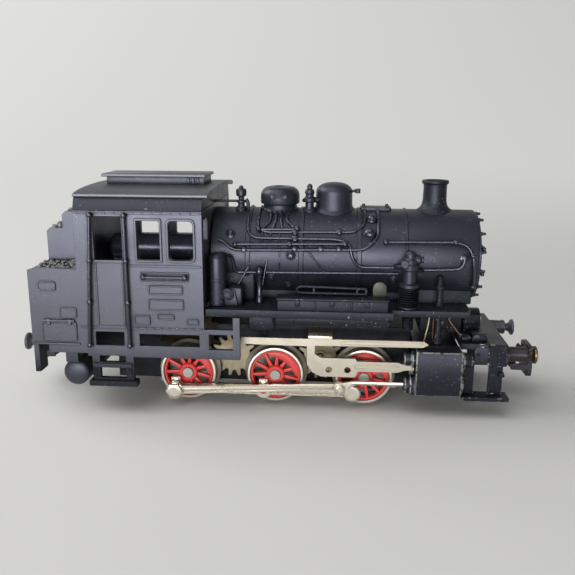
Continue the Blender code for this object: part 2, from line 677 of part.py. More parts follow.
def build_reduction(axle, axle_phase, layer):
    """The reduction gear with its pinion, and the armature with the motor pinion that drives it."""
    reduction, armature = (REDUCTION_X, REDUCTION_Z), (ARMATURE_X, ARMATURE_Z)
    second = (-SECOND_GEAR_INNER, -SECOND_GEAR_OUTER)
    overlapping = (-(GEAR_OUTER - 0.2), -SECOND_GEAR_OUTER)
    pinion_phase = meshing_phase(axle, AXLE_TEETH, axle_phase, reduction, REDUCTION_PINION_TEETH)
    pinion = plate(gear_outline(reduction, REDUCTION_PINION_TEETH, pinion_phase), "Y", layer[0],
                   overlapping[1] + 0.1)
    wheel = plate(gear_outline(reduction, REDUCTION_TEETH, 0.0), "Y", *second)
    bore = cylinder("Y", reduction, STUD_RADIUS + RUNNING_FIT, 0.0, -WHEEL_BACK, SMALL_SEGMENTS)
    finished("reduction_gear", cut(joined(wheel, pinion), bore), "brass", (reduction[0], 0.0, reduction[1]))
    motor_phase = meshing_phase(reduction, REDUCTION_TEETH, 0.0, armature, MOTOR_PINION_TEETH)
    rotor_end = FIELD_HALF_WIDTH - 1.0
    plate_outer = FIELD_HALF_WIDTH + SEAT_GAP + BRUSH_PLATE_THICKNESS
    shaft = turned([(0, -SECOND_GEAR_OUTER), (SHAFT_RADIUS, -SECOND_GEAR_OUTER), (SHAFT_RADIUS, -rotor_end),
                    (ROTOR_RADIUS, -rotor_end), (ROTOR_RADIUS, rotor_end), (2 * SHAFT_RADIUS, rotor_end),
                    (2 * SHAFT_RADIUS, FIELD_HALF_WIDTH), (SHAFT_RADIUS, FIELD_HALF_WIDTH),
                    (SHAFT_RADIUS, plate_outer + 0.4), (0, plate_outer + 0.4)], "Y", armature)
    teeth = plate(gear_outline(armature, MOTOR_PINION_TEETH, motor_phase), "Y", *second)
    finished("armature", joined(shaft, teeth), "steel", (armature[0], 0.0, armature[1]))


def coupling_rod_outline():
    """The coupling rod about its middle pin: an eye at each end, an oil cup over two of the pins."""
    half, cup = COUPLING_ROD_HEIGHT / 2, OIL_CUP_WIDTH / 2
    lean = math.degrees(math.asin(half / COUPLING_EYE))
    shoulder = math.degrees(math.acos(cup / COUPLING_EYE))
    front = arc((AXLE_SPACING, 0), COUPLING_EYE, lean - 180, 180 - lean, 10)
    rear_up = arc((-AXLE_SPACING, 0), COUPLING_EYE, lean, shoulder, 2)
    rear_down = arc((-AXLE_SPACING, 0), COUPLING_EYE, 180 - shoulder, 360 - lean, 8)
    middle_top = [(COUPLING_EYE, half), (cup, OIL_CUP_HEIGHT), (-cup, OIL_CUP_HEIGHT),
                  (-COUPLING_EYE, half)]
    rear_cup = [(-AXLE_SPACING + cup, OIL_CUP_HEIGHT), (-AXLE_SPACING - cup, OIL_CUP_HEIGHT)]
    middle_bottom = [(-COUPLING_EYE, -half), (-cup, -COUPLING_EYE), (cup, -COUPLING_EYE),
                     (COUPLING_EYE, -half)]
    return front + middle_top + rear_up + rear_cup + rear_down + middle_bottom


def main_rod_points():
    """The main rod along its own length from the crank eye, turned to its slope."""
    half = MAIN_ROD_HEIGHT / 2
    slope = math.asin(MAIN_ROD_RISE / MAIN_ROD_LENGTH)
    big, small = math.degrees(math.asin(half / MAIN_EYE)), math.degrees(math.asin(0.8 * half / CROSSHEAD_EYE))
    points = arc((MAIN_ROD_LENGTH, 0), CROSSHEAD_EYE, small - 180, 180 - small, 8)
    points += arc((0, 0), MAIN_EYE, big, 360 - big, 10)
    eyes = [circle((0, 0), PIN_RADIUS + RUNNING_FIT), circle((MAIN_ROD_LENGTH, 0), CROSSHEAD_EYE / 2, 10)]
    turn = [(math.cos(slope), -math.sin(slope)), (math.sin(slope), math.cos(slope))]
    loops = [[tuple(row[0] * a + row[1] * b for row in turn) for a, b in loop] for loop in [points] + eyes]
    return loops[0], loops[1:]


def build_rods():
    """Coupling rods on three crank pins, main rods on the rear pins, and the crossheads they push."""
    rod, eyes = main_rod_points()
    run = math.sqrt(MAIN_ROD_LENGTH ** 2 - MAIN_ROD_RISE ** 2)
    outline = coupling_rod_outline()
    right_rivet = -AXLE_SPACING + crank_point(-1)[0] + run
    piston = CYLINDER_REAR + PISTON_INSERT - right_rivet - PISTON_ROD_START
    for side_name, side in SIDES.items():
        pin_x, pin_z = crank_point(side)
        height = WHEEL_HEIGHT + pin_z
        holes = [circle((x, 0), PIN_RADIUS + RUNNING_FIT) for x in AXLES.values()]
        bar = plate(outline, "Y", side * COUPLING_ROD_INNER, side * COUPLING_ROD_OUTER, holes)
        finished(f"coupling_rod_{side_name}", moved(bar, pin_x, 0, height), "nickel_plate",
                 (pin_x, 0.0, height))
        bar = plate(rod, "Y", side * MAIN_ROD_INNER, side * MAIN_ROD_OUTER, eyes)
        rear = -AXLE_SPACING + pin_x
        finished(f"main_rod_{side_name}", moved(bar, rear, 0, height), "nickel_plate", (rear, 0.0, height))
        build_crosshead(side_name, side, rear + run, piston)


def build_crosshead(side_name, side, rivet_x, piston):
    """A flat crosshead with its rivet and the piston rod, sliding in the cylinder."""
    right = crank_point(-1)
    rivet = (rivet_x, WHEEL_HEIGHT + right[1] + MAIN_ROD_RISE)
    start = (rivet_x + PISTON_ROD_START, PISTON_HEIGHT)
    slope = math.degrees(math.atan2(start[1] - rivet[1], start[0] - rivet[0]))
    outline = arc(rivet, CROSSHEAD_EYE, slope + 90, slope + 270, 8)
    outline += arc(start, PISTON_ROD_RADIUS, slope - 90, slope + 90, 3)
    flat = plate(outline, "Y", side * CROSSHEAD_INNER, side * CROSSHEAD_OUTER)
    head = turned([(0, side * (CROSSHEAD_INNER + 0.2)),
                   (CROSSHEAD_EYE - 0.1, side * (CROSSHEAD_INNER + 0.2)),
                   (CROSSHEAD_EYE - 0.1, side * (CROSSHEAD_OUTER + RIVET_HEIGHT / 2)),
                   (CROSSHEAD_EYE / 2, side * (CROSSHEAD_OUTER + RIVET_HEIGHT)),
                   (0, side * (CROSSHEAD_OUTER + RIVET_HEIGHT))], "Y", rivet, SMALL_SEGMENTS)
    rod = cylinder("X", (side * PISTON_Y, PISTON_HEIGHT), PISTON_ROD_RADIUS,
                   start[0] - PISTON_ROD_RADIUS / 2,
                   start[0] + piston, 12)
    finished(f"crosshead_{side_name}", joined(flat, head, rod), "nickel_plate",
             (rivet_x, side * PISTON_Y, PISTON_HEIGHT))


def build_brackets():
    """The motion bracket of each side: a pressed plate with the slide bar, bent in to sit on the frame."""
    plate_rear, plate_front = BRACKET_PLATE
    tongue = CYLINDER_REAR - SEAT_GAP
    hanger = BRACKET_HANGER + 1.6
    middle = (SLIDE_BAR_BOTTOM + SLIDE_BAR_TOP) / 2
    outline = [(BRACKET_REAR, BRACKET_BAR_BOTTOM), (BRACKET_HANGER, BRACKET_BAR_BOTTOM - 0.2),
               (BRACKET_HANGER, BRACKET_PLATE_BOTTOM + 2.6), (BRACKET_HANGER + 1.1, BRACKET_PLATE_BOTTOM
                                                              + 0.9),
               (plate_rear, BRACKET_PLATE_BOTTOM), (plate_front, BRACKET_PLATE_BOTTOM),
               (plate_front + 0.6, SLIDE_BAR_BOTTOM), (tongue - 3.4, SLIDE_BAR_BOTTOM), (tongue - 2.0,
                                                                                         middle - 0.6),
               (tongue, middle - 0.5), (tongue, middle + 0.5), (tongue - 2.0, middle + 0.6),
               (tongue - 3.4, SLIDE_BAR_TOP), (plate_front + 0.3, SLIDE_BAR_TOP), (plate_front,
                                                                                   BRACKET_PLATE_TOP),
               (plate_rear, BRACKET_PLATE_TOP), (hanger, BRACKET_PLATE_TOP + 0.8), (hanger,
                                                                                    BRACKET_BAR_BOTTOM),
               (BRACKET_BAR_FRONT - 1.2, BRACKET_BAR_BOTTOM + 0.1), (BRACKET_BAR_FRONT,
                                                                     BRACKET_BAR_TOP - 0.7),
               (BRACKET_BAR_FRONT - 1.0, BRACKET_BAR_TOP), (BRACKET_REAR, BRACKET_BAR_TOP)]
    centre = (BRACKET_PLATE_BOTTOM + BRACKET_PLATE_TOP) / 2 - 0.5
    holes = [circle((plate_rear + 1.7, centre), BRACKET_HOLE, 10),
             circle((plate_front - 1.6, centre), BRACKET_HOLE, 10)]
    inner, outer = CROSSHEAD_INNER, CROSSHEAD_INNER + BRACKET_THICKNESS
    foot, root = FRAME_TOP + SEAT_GAP, BRACKET_BAR_TOP - 0.5
    for side_name, side in SIDES.items():
        pressing = plate(outline, "Y", side * inner, side * outer, holes)
        bend = [(outer - 0.08, root), (outer - 0.08, foot), (outer - 0.7, foot + BRACKET_THICKNESS),
                (4.0, foot + BRACKET_THICKNESS), (4.0, foot), (inner + 0.08, foot), (inner + 0.08, root)]
        tab = plate([(side * y, z) for y, z in bend], "X", BRACKET_HANGER + 0.2, BRACKET_HANGER + 5.2)
        finished(f"motion_bracket_{side_name}", joined(pressing, tab), "nickel_plate")


def build_chassis():
    """The die-cast frame with axle slots, the keeper plate below it and the sprung pickup shoe."""
    slot = AXLE_RADIUS + RUNNING_FIT
    outline = [(-FRAME_REAR, FRAME_BOTTOM)]
    for x in AXLES.values():
        outline += [(x - slot, FRAME_BOTTOM)] + arc((x, WHEEL_HEIGHT), slot, 180, 0,
                                                    8) + [(x + slot, FRAME_BOTTOM)]
    outline += [(FRAME_FRONT, FRAME_BOTTOM), (FRAME_FRONT, FRAME_TOP), (-FRAME_REAR, FRAME_TOP),
                (-FRAME_REAR, TAIL_TOP),
                (-FRAME_TAIL, TAIL_TOP), (-FRAME_TAIL, TAIL_BOTTOM), (-FRAME_REAR, TAIL_BOTTOM)]
    frame = plate(outline, "Y", -FRAME_HALF_WIDTH, FRAME_HALF_WIDTH)
    idler_height = WHEEL_HEIGHT + IDLER_RISE
    studs = [cylinder("Y", (x, idler_height), STUD_RADIUS, -GEAR_OUTER, 1 - FRAME_HALF_WIDTH,
                      SMALL_SEGMENTS)
             for x in (-AXLE_SPACING / 2, AXLE_SPACING / 2)]
    studs.append(cylinder("Y", (REDUCTION_X, REDUCTION_Z), STUD_RADIUS, -SECOND_GEAR_OUTER,
                          1 - FRAME_HALF_WIDTH, SMALL_SEGMENTS))
    pockets = [cylinder("Z", (x, 0), SHOE_POST_RADIUS + RUNNING_FIT, FRAME_BOTTOM - 1,
                        KEEPER_TOP + SHOE_TRAVEL + 0.3, SMALL_SEGMENTS) for x in shoe_posts()]
    pockets.append(cylinder("Z", (SAND_DOME_X, 0), SCREW_RADIUS + RUNNING_FIT, SCREW_TIP - 0.4, FRAME_TOP
                            + 1, SMALL_SEGMENTS))
    pockets.append(coupler_bore(-COUPLER_PIVOTS["rear"], TAIL_BOTTOM))
    finished("chassis_frame", cut(joined(frame, *studs), *pockets), "zinc")
    lug = slot - 0.15
    lug_top = WHEEL_HEIGHT - AXLE_RADIUS - RUNNING_FIT
    end = AXLE_SPACING + KEEPER_OVERHANG
    outline = [(-end, KEEPER_BOTTOM), (end, KEEPER_BOTTOM), (end, KEEPER_TOP)]
    for x in sorted(AXLES.values(), reverse=True):
        outline += [(x + lug, KEEPER_TOP), (x + lug, lug_top), (x - lug, lug_top), (x - lug, KEEPER_TOP)]
    outline.append((-end, KEEPER_TOP))
    keeper = plate(outline, "Y", 0.5 - FRAME_HALF_WIDTH, FRAME_HALF_WIDTH - 0.5)
    bores = [cylinder("Z", (x, 0), SHOE_POST_RADIUS + RUNNING_FIT, 0, FRAME_BOTTOM, SMALL_SEGMENTS)
             for x in shoe_posts()]
    finished("keeper_plate", cut(keeper, *bores), "zinc")
    top = SHOE_BOTTOM + SHOE_THICKNESS
    tip = SHOE_HALF_LENGTH
    skid = plate([(-tip + 2, SHOE_BOTTOM), (tip - 2, SHOE_BOTTOM), (tip, SHOE_BOTTOM + 0.6),
                  (tip, top + 0.6),
                  (tip - 2, top), (-tip + 2, top), (-tip, top + 0.6), (-tip, SHOE_BOTTOM + 0.6)],
                 "Y", -SHOE_HALF_WIDTH, SHOE_HALF_WIDTH)
    posts = [cylinder("Z", (x, 0), SHOE_POST_RADIUS, SHOE_BOTTOM + 0.2, KEEPER_TOP, SMALL_SEGMENTS)
             for x in shoe_posts()]
    finished("pickup_shoe", joined(skid, *posts), "steel", (0.0, 0.0, SHOE_BOTTOM))


def shoe_posts():
    return (-SHOE_POST_SPACING / 2, SHOE_POST_SPACING / 2)


def coupler_bore(x, bottom):
    """The blind hole in which a coupler's stud turns."""
    return cylinder("Z", (x, 0), STUD_RADIUS + RUNNING_FIT, bottom - 1, bottom + STUD_DEPTH + STUD_END_GAP,
                    SMALL_SEGMENTS)


def build_motor():
    """The motor's field block round the armature, its brush plate, and the reversing relay on top."""
    front = ARMATURE_X + FIELD_AHEAD
    centre = (ARMATURE_X, ARMATURE_Z)
    inner = FIELD_HALF_WIDTH - 0.6
    field = block((front - FIELD_LENGTH, front), (-FIELD_HALF_WIDTH, FIELD_HALF_WIDTH),
                  (FIELD_BOTTOM, FIELD_TOP))
    bore = cylinder("Y", centre, FIELD_BORE, -inner, FIELD_HALF_WIDTH + 1)
    bearing = cylinder("Y", centre, SHAFT_RADIUS + RUNNING_FIT, -FIELD_HALF_WIDTH - 1, 0, SMALL_SEGMENTS)
    finished("motor_field", cut(field, bore, bearing), "steel")
    start = FIELD_HALF_WIDTH + SEAT_GAP
    outline = rectangle((front - FIELD_LENGTH + 1.5, front - 1.0), (FIELD_BOTTOM + 0.5, FIELD_TOP - 0.5),
                        1.5)
    board = plate(outline, "Y", start, start + BRUSH_PLATE_THICKNESS,
                  [circle(centre, SHAFT_RADIUS + RUNNING_FIT)])
    finished("brush_plate", board, "brown_board")
    ends = (-RELAY_REAR, -RELAY_FRONT)
    drum = turned([(0, ends[0]), (RELAY_RADIUS - 0.8, ends[0]), (RELAY_RADIUS, ends[0] + 0.8),
                   (RELAY_RADIUS, ends[1] - 0.8),
                   (RELAY_RADIUS - 0.8, ends[1]), (0, ends[1])], "X", (0.0, RELAY_HEIGHT))
    finished("reversing_relay", drum, "grey_enamel")


def build_front():
    """The cylinder casting, and the front platform with its beam, steps and lamp house."""
    web = block((CYLINDER_REAR, CYLINDER_FRONT), (-CYLINDER_OUTER + 1, CYLINDER_OUTER - 1),
                (CYLINDER_WEB_BOTTOM, CYLINDER_TOP - 0.3))
    parts, bores = [], []
    bore_end = CYLINDER_REAR + PISTON_INSERT + CRANK_THROW - crank_point(-1)[0] + 0.5
    for side in SIDES.values():
        corner = [(side * y, z) for y, z in rectangle((CYLINDER_INNER, CYLINDER_OUTER),
                                                      (CYLINDER_BOTTOM, CYLINDER_TOP), 0.6)]
        parts.append(plate(corner, "X", CYLINDER_REAR, CYLINDER_FRONT))
        gland = (side * PISTON_Y, PISTON_HEIGHT)
        valve = (side * PISTON_Y, VALVE_HEIGHT)
        parts.append(cylinder("X", gland, GLAND_RADIUS - 0.6, CYLINDER_REAR - GLAND_LENGTH, CYLINDER_REAR
                              + 1, 20))
        parts.append(cylinder("X", valve, VALVE_RADIUS, CYLINDER_REAR - VALVE_LENGTH, CYLINDER_FRONT + 2.2,
                              16))
        bores.append(cylinder("X", gland, PISTON_ROD_RADIUS + PISTON_BORE_CLEARANCE, 0, bore_end, 12))
    finished("cylinder_block", cut(joined(web, *parts), *bores), "black_paint")
    low = PLATFORM_TOP - PLATFORM_THICKNESS
    deck = block((PLATFORM_REAR, BEAM_FRONT - 0.5), (-BEAM_HALF_WIDTH + 0.3, BEAM_HALF_WIDTH - 0.3),
                 (low, PLATFORM_TOP - 0.05))
    beam = block((BEAM_REAR, BEAM_FRONT), (-BEAM_HALF_WIDTH, BEAM_HALF_WIDTH), (BEAM_BOTTOM, PLATFORM_TOP))
    lamp_house = block((LAMP_REAR, LAMP_FRONT), (-LAMP_HALF_WIDTH, LAMP_HALF_WIDTH), (low + 0.4, LAMP_TOP))
    parts = [beam, lamp_house]
    for side in SIDES.values():
        y0, y1 = sorted((side * (BEAM_HALF_WIDTH - STEP_POST_THICKNESS), side * (BEAM_HALF_WIDTH - 0.1)))
        parts.append(block((CYLINDER_FRONT + 3, BEAM_REAR + 1), (y0, y1), (BEAM_BOTTOM + 0.2, low + 0.6)))
        board = STEP_BOARD_BOTTOM + STEP_BOARD_THICKNESS
        for x, wide in ((BEAM_REAR + 0.3, STEP_POST_WIDTH), (CYLINDER_FRONT + 1.1, REAR_POST_WIDTH)):
            parts.append(block((x, x + wide), (y0, y1), (board - 0.4, BEAM_BOTTOM + 0.6)))
        y0, y1 = sorted((side * (BEAM_HALF_WIDTH - STEP_POST_THICKNESS - 0.3), side * STEP_BOARD_OUTER))
        parts.append(block((PLATFORM_REAR + 0.4, BEAM_FRONT + 0.4), (y0, y1), (STEP_BOARD_BOTTOM, board)))
    centre = (0.0, (PLATFORM_TOP + LAMP_TOP) / 2)
    socket = cylinder("X", centre, BULB_RADIUS + SEAT_GAP, LAMP_REAR + 1.0, LAMP_FRONT + 1, 16)
    finished("front_platform", cut(joined(deck, *parts), socket,
                                   coupler_bore(COUPLER_PIVOTS["front"], BEAM_BOTTOM)), "black_paint")
    bulb = turned([(0, LAMP_REAR + 1.2), (BULB_RADIUS, LAMP_REAR + 1.2), (BULB_RADIUS, LAMP_FRONT),
                   (BULB_RADIUS * 0.7, LAMP_FRONT + 0.5), (0, LAMP_FRONT + 0.7)], "X", centre, 16)
    finished("lamp_bulb", bulb, "lamp_glass")


def build_buffers():
    """Four turned buffers: a sleeve on the beam, a shank and a round head."""
    seats = {"front": BEAM_FRONT + SEAT_GAP / 2, "rear": -BUNKER_REAR + SEAT_GAP / 2}
    for end_name, end in (("front", 1), ("rear", -1)):
        seat = seats[end_name]
        sleeve = seat + 0.62 * (BUFFER_FACE - seat)
        profile = [(0, seat), (BUFFER_SLEEVE, seat), (BUFFER_SLEEVE * 0.9, sleeve),
                   (BUFFER_SHANK, sleeve + 0.3),
                   (BUFFER_SHANK, BUFFER_FACE - 1.3), (BUFFER_HEAD, BUFFER_FACE - 0.6), (BUFFER_HEAD,
                                                                                         BUFFER_FACE - 0.15),
                   (BUFFER_HEAD - 0.25, BUFFER_FACE), (0, BUFFER_FACE)]
        for side_name, side in SIDES.items():
            centre = (side * BUFFER_SPREAD, BUFFER_HEIGHT)
            shape = turned([(r, end * x) for r, x in profile], "X", centre, 14)
            finished(f"buffer_{end_name}_{side_name}", shape, "worn_brass" if end > 0 else "black_paint")


def build_couplers():
    """A swinging coupler at each end, with a hook and a bail that lifts."""
    low = COUPLER_HEIGHT - COUPLER_THICKNESS
    hinge_z = low - COUPLER_HINGE_DROP
    half = COUPLER_WIDTH / 2
    for end_name, end in (("front", 1), ("rear", -1)):
        pivot = COUPLER_PIVOTS[end_name]
        hook, rear = pivot + COUPLER_REACH, pivot - COUPLER_END
        hinge = hook - COUPLER_HINGE_SETBACK
        bottom = BEAM_BOTTOM if end > 0 else TAIL_BOTTOM
        side_view = [(rear, low), (hook, low), (hook, LOOP_TOP - 1.0), (hook - 0.5, LOOP_TOP - 0.4),
                     (hook - 1.0, LOOP_TOP - 1.0), (hook - 1.0, COUPLER_HEIGHT), (rear, COUPLER_HEIGHT)]
        bar = plate([(end * x, z) for x, z in side_view], "Y", -half, half)
        stud = cylinder("Z", (end * pivot, 0), STUD_RADIUS, low + COUPLER_THICKNESS / 3, bottom
                        + STUD_DEPTH,
                        SMALL_SEGMENTS)
        eye = cylinder("Y", (end * hinge, hinge_z), COUPLER_EYE, -half, half, SMALL_SEGMENTS)
        bore = cylinder("Y", (end * hinge, hinge_z), LOOP_PIN_RADIUS + RUNNING_FIT, -2 * half, 2 * half, 12)
        finished(f"coupler_{end_name}", cut(joined(bar, stud, eye), bore), "steel",
                 (end * pivot, 0.0, COUPLER_HEIGHT))
        build_loop(end_name, end, hinge, hinge_z)


def build_loop(end_name, end, hinge, height):
    """The coupler's bail: a bent plate with two arms on a pin through the coupler."""
    front = hinge + LOOP_REACH
    arm = LOOP_HALF_WIDTH - LOOP_WIRE
    face = rectangle((-LOOP_HALF_WIDTH, LOOP_HALF_WIDTH), (LOOP_BOTTOM, LOOP_TOP), 1.2)
    window = rectangle((-arm, arm), (height + 1.2, LOOP_TOP - LOOP_WIRE), 0.6)
    bail = plate(face, "X", end * (front - LOOP_WIRE), end * front, [window])
    pin = cylinder("Y", (end * hinge, height), LOOP_PIN_RADIUS, 0.2 - LOOP_HALF_WIDTH,
                   LOOP_HALF_WIDTH - 0.2, 12)
    x_range = tuple(sorted((end * (hinge - 0.7), end * (front - LOOP_WIRE / 3))))
    arms = [block(x_range, tuple(sorted((side * arm, side * LOOP_HALF_WIDTH))),
                  (height - 0.6, height + 0.6))
            for side in SIDES.values()]
    finished(f"coupler_loop_{end_name}", joined(bail, pin, *arms), "steel", (end * hinge, 0.0, height))


def build_boiler():
    """The boiler casting with its smokebox, saddle, running boards, toolboxes and side tanks."""
    axis = (0.0, BOILER_HEIGHT)
    inner = BOILER_RADIUS - BOILER_WALL
    back = SMOKEBOX_FRONT - 2 * BOILER_WALL
    barrel = turned([(0, back), (inner, back), (inner, BOILER_REAR), (BOILER_RADIUS, BOILER_REAR),
                     (BOILER_RADIUS, SMOKEBOX_FRONT), (0, SMOKEBOX_FRONT)], "X", axis, 40)
    saddle_top = BOILER_HEIGHT - math.sqrt(inner ** 2 - (SADDLE_HALF_WIDTH - 1.5) ** 2) - 0.4
    saddle = block((BOILER_REAR + 0.02, SMOKEBOX_FRONT - 1.4), (-SADDLE_HALF_WIDTH, SADDLE_HALF_WIDTH),
                   (BOARD_BOTTOM + 0.3, saddle_top))
    wide, narrow = BOARD_HALF_WIDTH, FRONT_BOARD_HALF_WIDTH
    outline = [(BOILER_REAR + 0.05, -wide), (BOARD_BREAK, -wide), (BOARD_BREAK, -narrow),
               (BOARD_FRONT, -narrow),
               (BOARD_FRONT, narrow), (BOARD_BREAK, narrow), (BOARD_BREAK, wide), (BOILER_REAR + 0.05,
                                                                                   wide)]
    board = plate(outline, "Z", BOARD_BOTTOM, BOARD_TOP)
    foot = block((SADDLE_REAR, SMOKEBOX_FRONT - 1.8), (1 - SADDLE_HALF_WIDTH, SADDLE_HALF_WIDTH - 1),
                 (PLATFORM_TOP + SEAT_GAP, BOARD_BOTTOM + 0.6))
    foot = cut(foot, block((LAMP_REAR - 1, LAMP_FRONT), (-9, 9), (0, LAMP_TOP + SEAT_GAP)))
    post = block((SAND_DOME_X - BODY_POST_HALF_LENGTH, SAND_DOME_X + BODY_POST_HALF_LENGTH),
                 (-BODY_POST_HALF_WIDTH, BODY_POST_HALF_WIDTH), (FRAME_TOP + SEAT_GAP, BOARD_BOTTOM + 0.5))
    firebox = block((BOILER_REAR + 0.04, FIREBOX_FRONT), (-FIREBOX_HALF_WIDTH, FIREBOX_HALF_WIDTH),
                    (BOARD_TOP - 0.5, BOILER_HEIGHT - 1.0))
    hollow = cylinder("X", axis, inner + 0.4 * BOILER_WALL, BOILER_REAR - 1, FIREBOX_FRONT + 1, 40)
    stub = cylinder("Z", (PUMP_X, -PUMP_Y), PUMP_STUB_RADIUS, BOARD_BOTTOM - PUMP_STUB_DROP, BOARD_TOP - 0.3,
                    SMALL_SEGMENTS)
    valve_box = block((FEED_TANK_X + FEED_TANK_RADIUS + SEAT_GAP, VALVE_BOX_FRONT),
                      (-VALVE_BOX_OUTER, 1 - FIREBOX_HALF_WIDTH), (BOARD_TOP - 0.3, VALVE_BOX_TOP))
    parts = [saddle, board, foot, post, cut(firebox, hollow), stub, valve_box]
    parts += [small_fitting(SAFETY_VALVE_X, SAFETY_VALVE_RADIUS, SAFETY_VALVE_TOP),
              small_fitting(WHISTLE_X, WHISTLE_RADIUS, WHISTLE_TOP)]
    for side in SIDES.values():
        y0, y1 = sorted((side * (wide - TOOLBOX_DEPTH), side * (wide - 0.1)))
        parts.append(block((TOOLBOX_REAR, TOOLBOX_FRONT), (y0, y1), (BOARD_TOP - 0.4, TOOLBOX_TOP)))
        parts.append(cylinder("Z", (STEAM_PIPE_X, side * STEAM_PIPE_Y), STEAM_PIPE_RADIUS,
                              CYLINDER_TOP + SEAT_GAP, STEAM_PIPE_TOP, SMALL_SEGMENTS))
        y0, y1 = sorted((side * SANDBOX_INNER, side * SANDBOX_OUTER))
        parts.append(block(SANDBOX, (y0, y1), (SANDBOX_BOTTOM, BOARD_BOTTOM + 0.4)))
        centre = (side * (wide - SIDE_TANK_RADIUS - 0.1), BOARD_BOTTOM - 0.5)
        parts.append(cylinder("X", centre, SIDE_TANK_RADIUS, TOOLBOX_REAR - 0.2, TOOLBOX_FRONT + 0.2, 20))
    shell = joined(barrel, *parts)
    screw_hole = cylinder("Z", (SAND_DOME_X, 0), SCREW_RADIUS + RUNNING_FIT, 0, BOILER_TOP + 1,
                          SMALL_SEGMENTS)
    finished("boiler_casting", cut(shell, screw_hole), "black_paint")
    door = turned([(0, SMOKEBOX_FRONT + SEAT_GAP), (SMOKEBOX_DOOR_RADIUS, SMOKEBOX_FRONT + SEAT_GAP),
                   (SMOKEBOX_DOOR_RADIUS - 0.3, SMOKEBOX_FRONT + SEAT_GAP + 0.35 * SMOKEBOX_DOOR_DEPTH),
                   (SMOKEBOX_DOOR_RADIUS * 0.5, SMOKEBOX_FRONT + SEAT_GAP + SMOKEBOX_DOOR_DEPTH * 0.85),
                   (0, SMOKEBOX_FRONT + SEAT_GAP + SMOKEBOX_DOOR_DEPTH)], "X", axis)
    finished("smokebox_door", door, "black_paint")


def small_fitting(x, radius, top):
    """A turned valve on top of the boiler: a stem, a round body and a knob."""
    foot = BOILER_TOP - 1.5
    rise = top - BOILER_TOP
    profile = [(0, foot), (radius * 0.6, foot), (radius * 0.6, BOILER_TOP + 0.3 * rise),
               (radius, BOILER_TOP + 0.35 * rise), (radius, BOILER_TOP + 0.6 * rise),
               (radius * 0.5, BOILER_TOP + 0.7 * rise), (radius * 0.6, BOILER_TOP + 0.9 * rise), (0, top)]
    return turned(profile, "Z", (x, FITTING_Y), SMALL_SEGMENTS)


def seated(mesh):
    """A mounting on the boiler, cut hollow underneath so that it sits round the barrel."""
    barrel = cylinder("X", (0.0, BOILER_HEIGHT), BOILER_RADIUS + SEAT_GAP / 4, BOILER_REAR, SMOKEBOX_FRONT,
                      40)
    return cut(mesh, barrel)


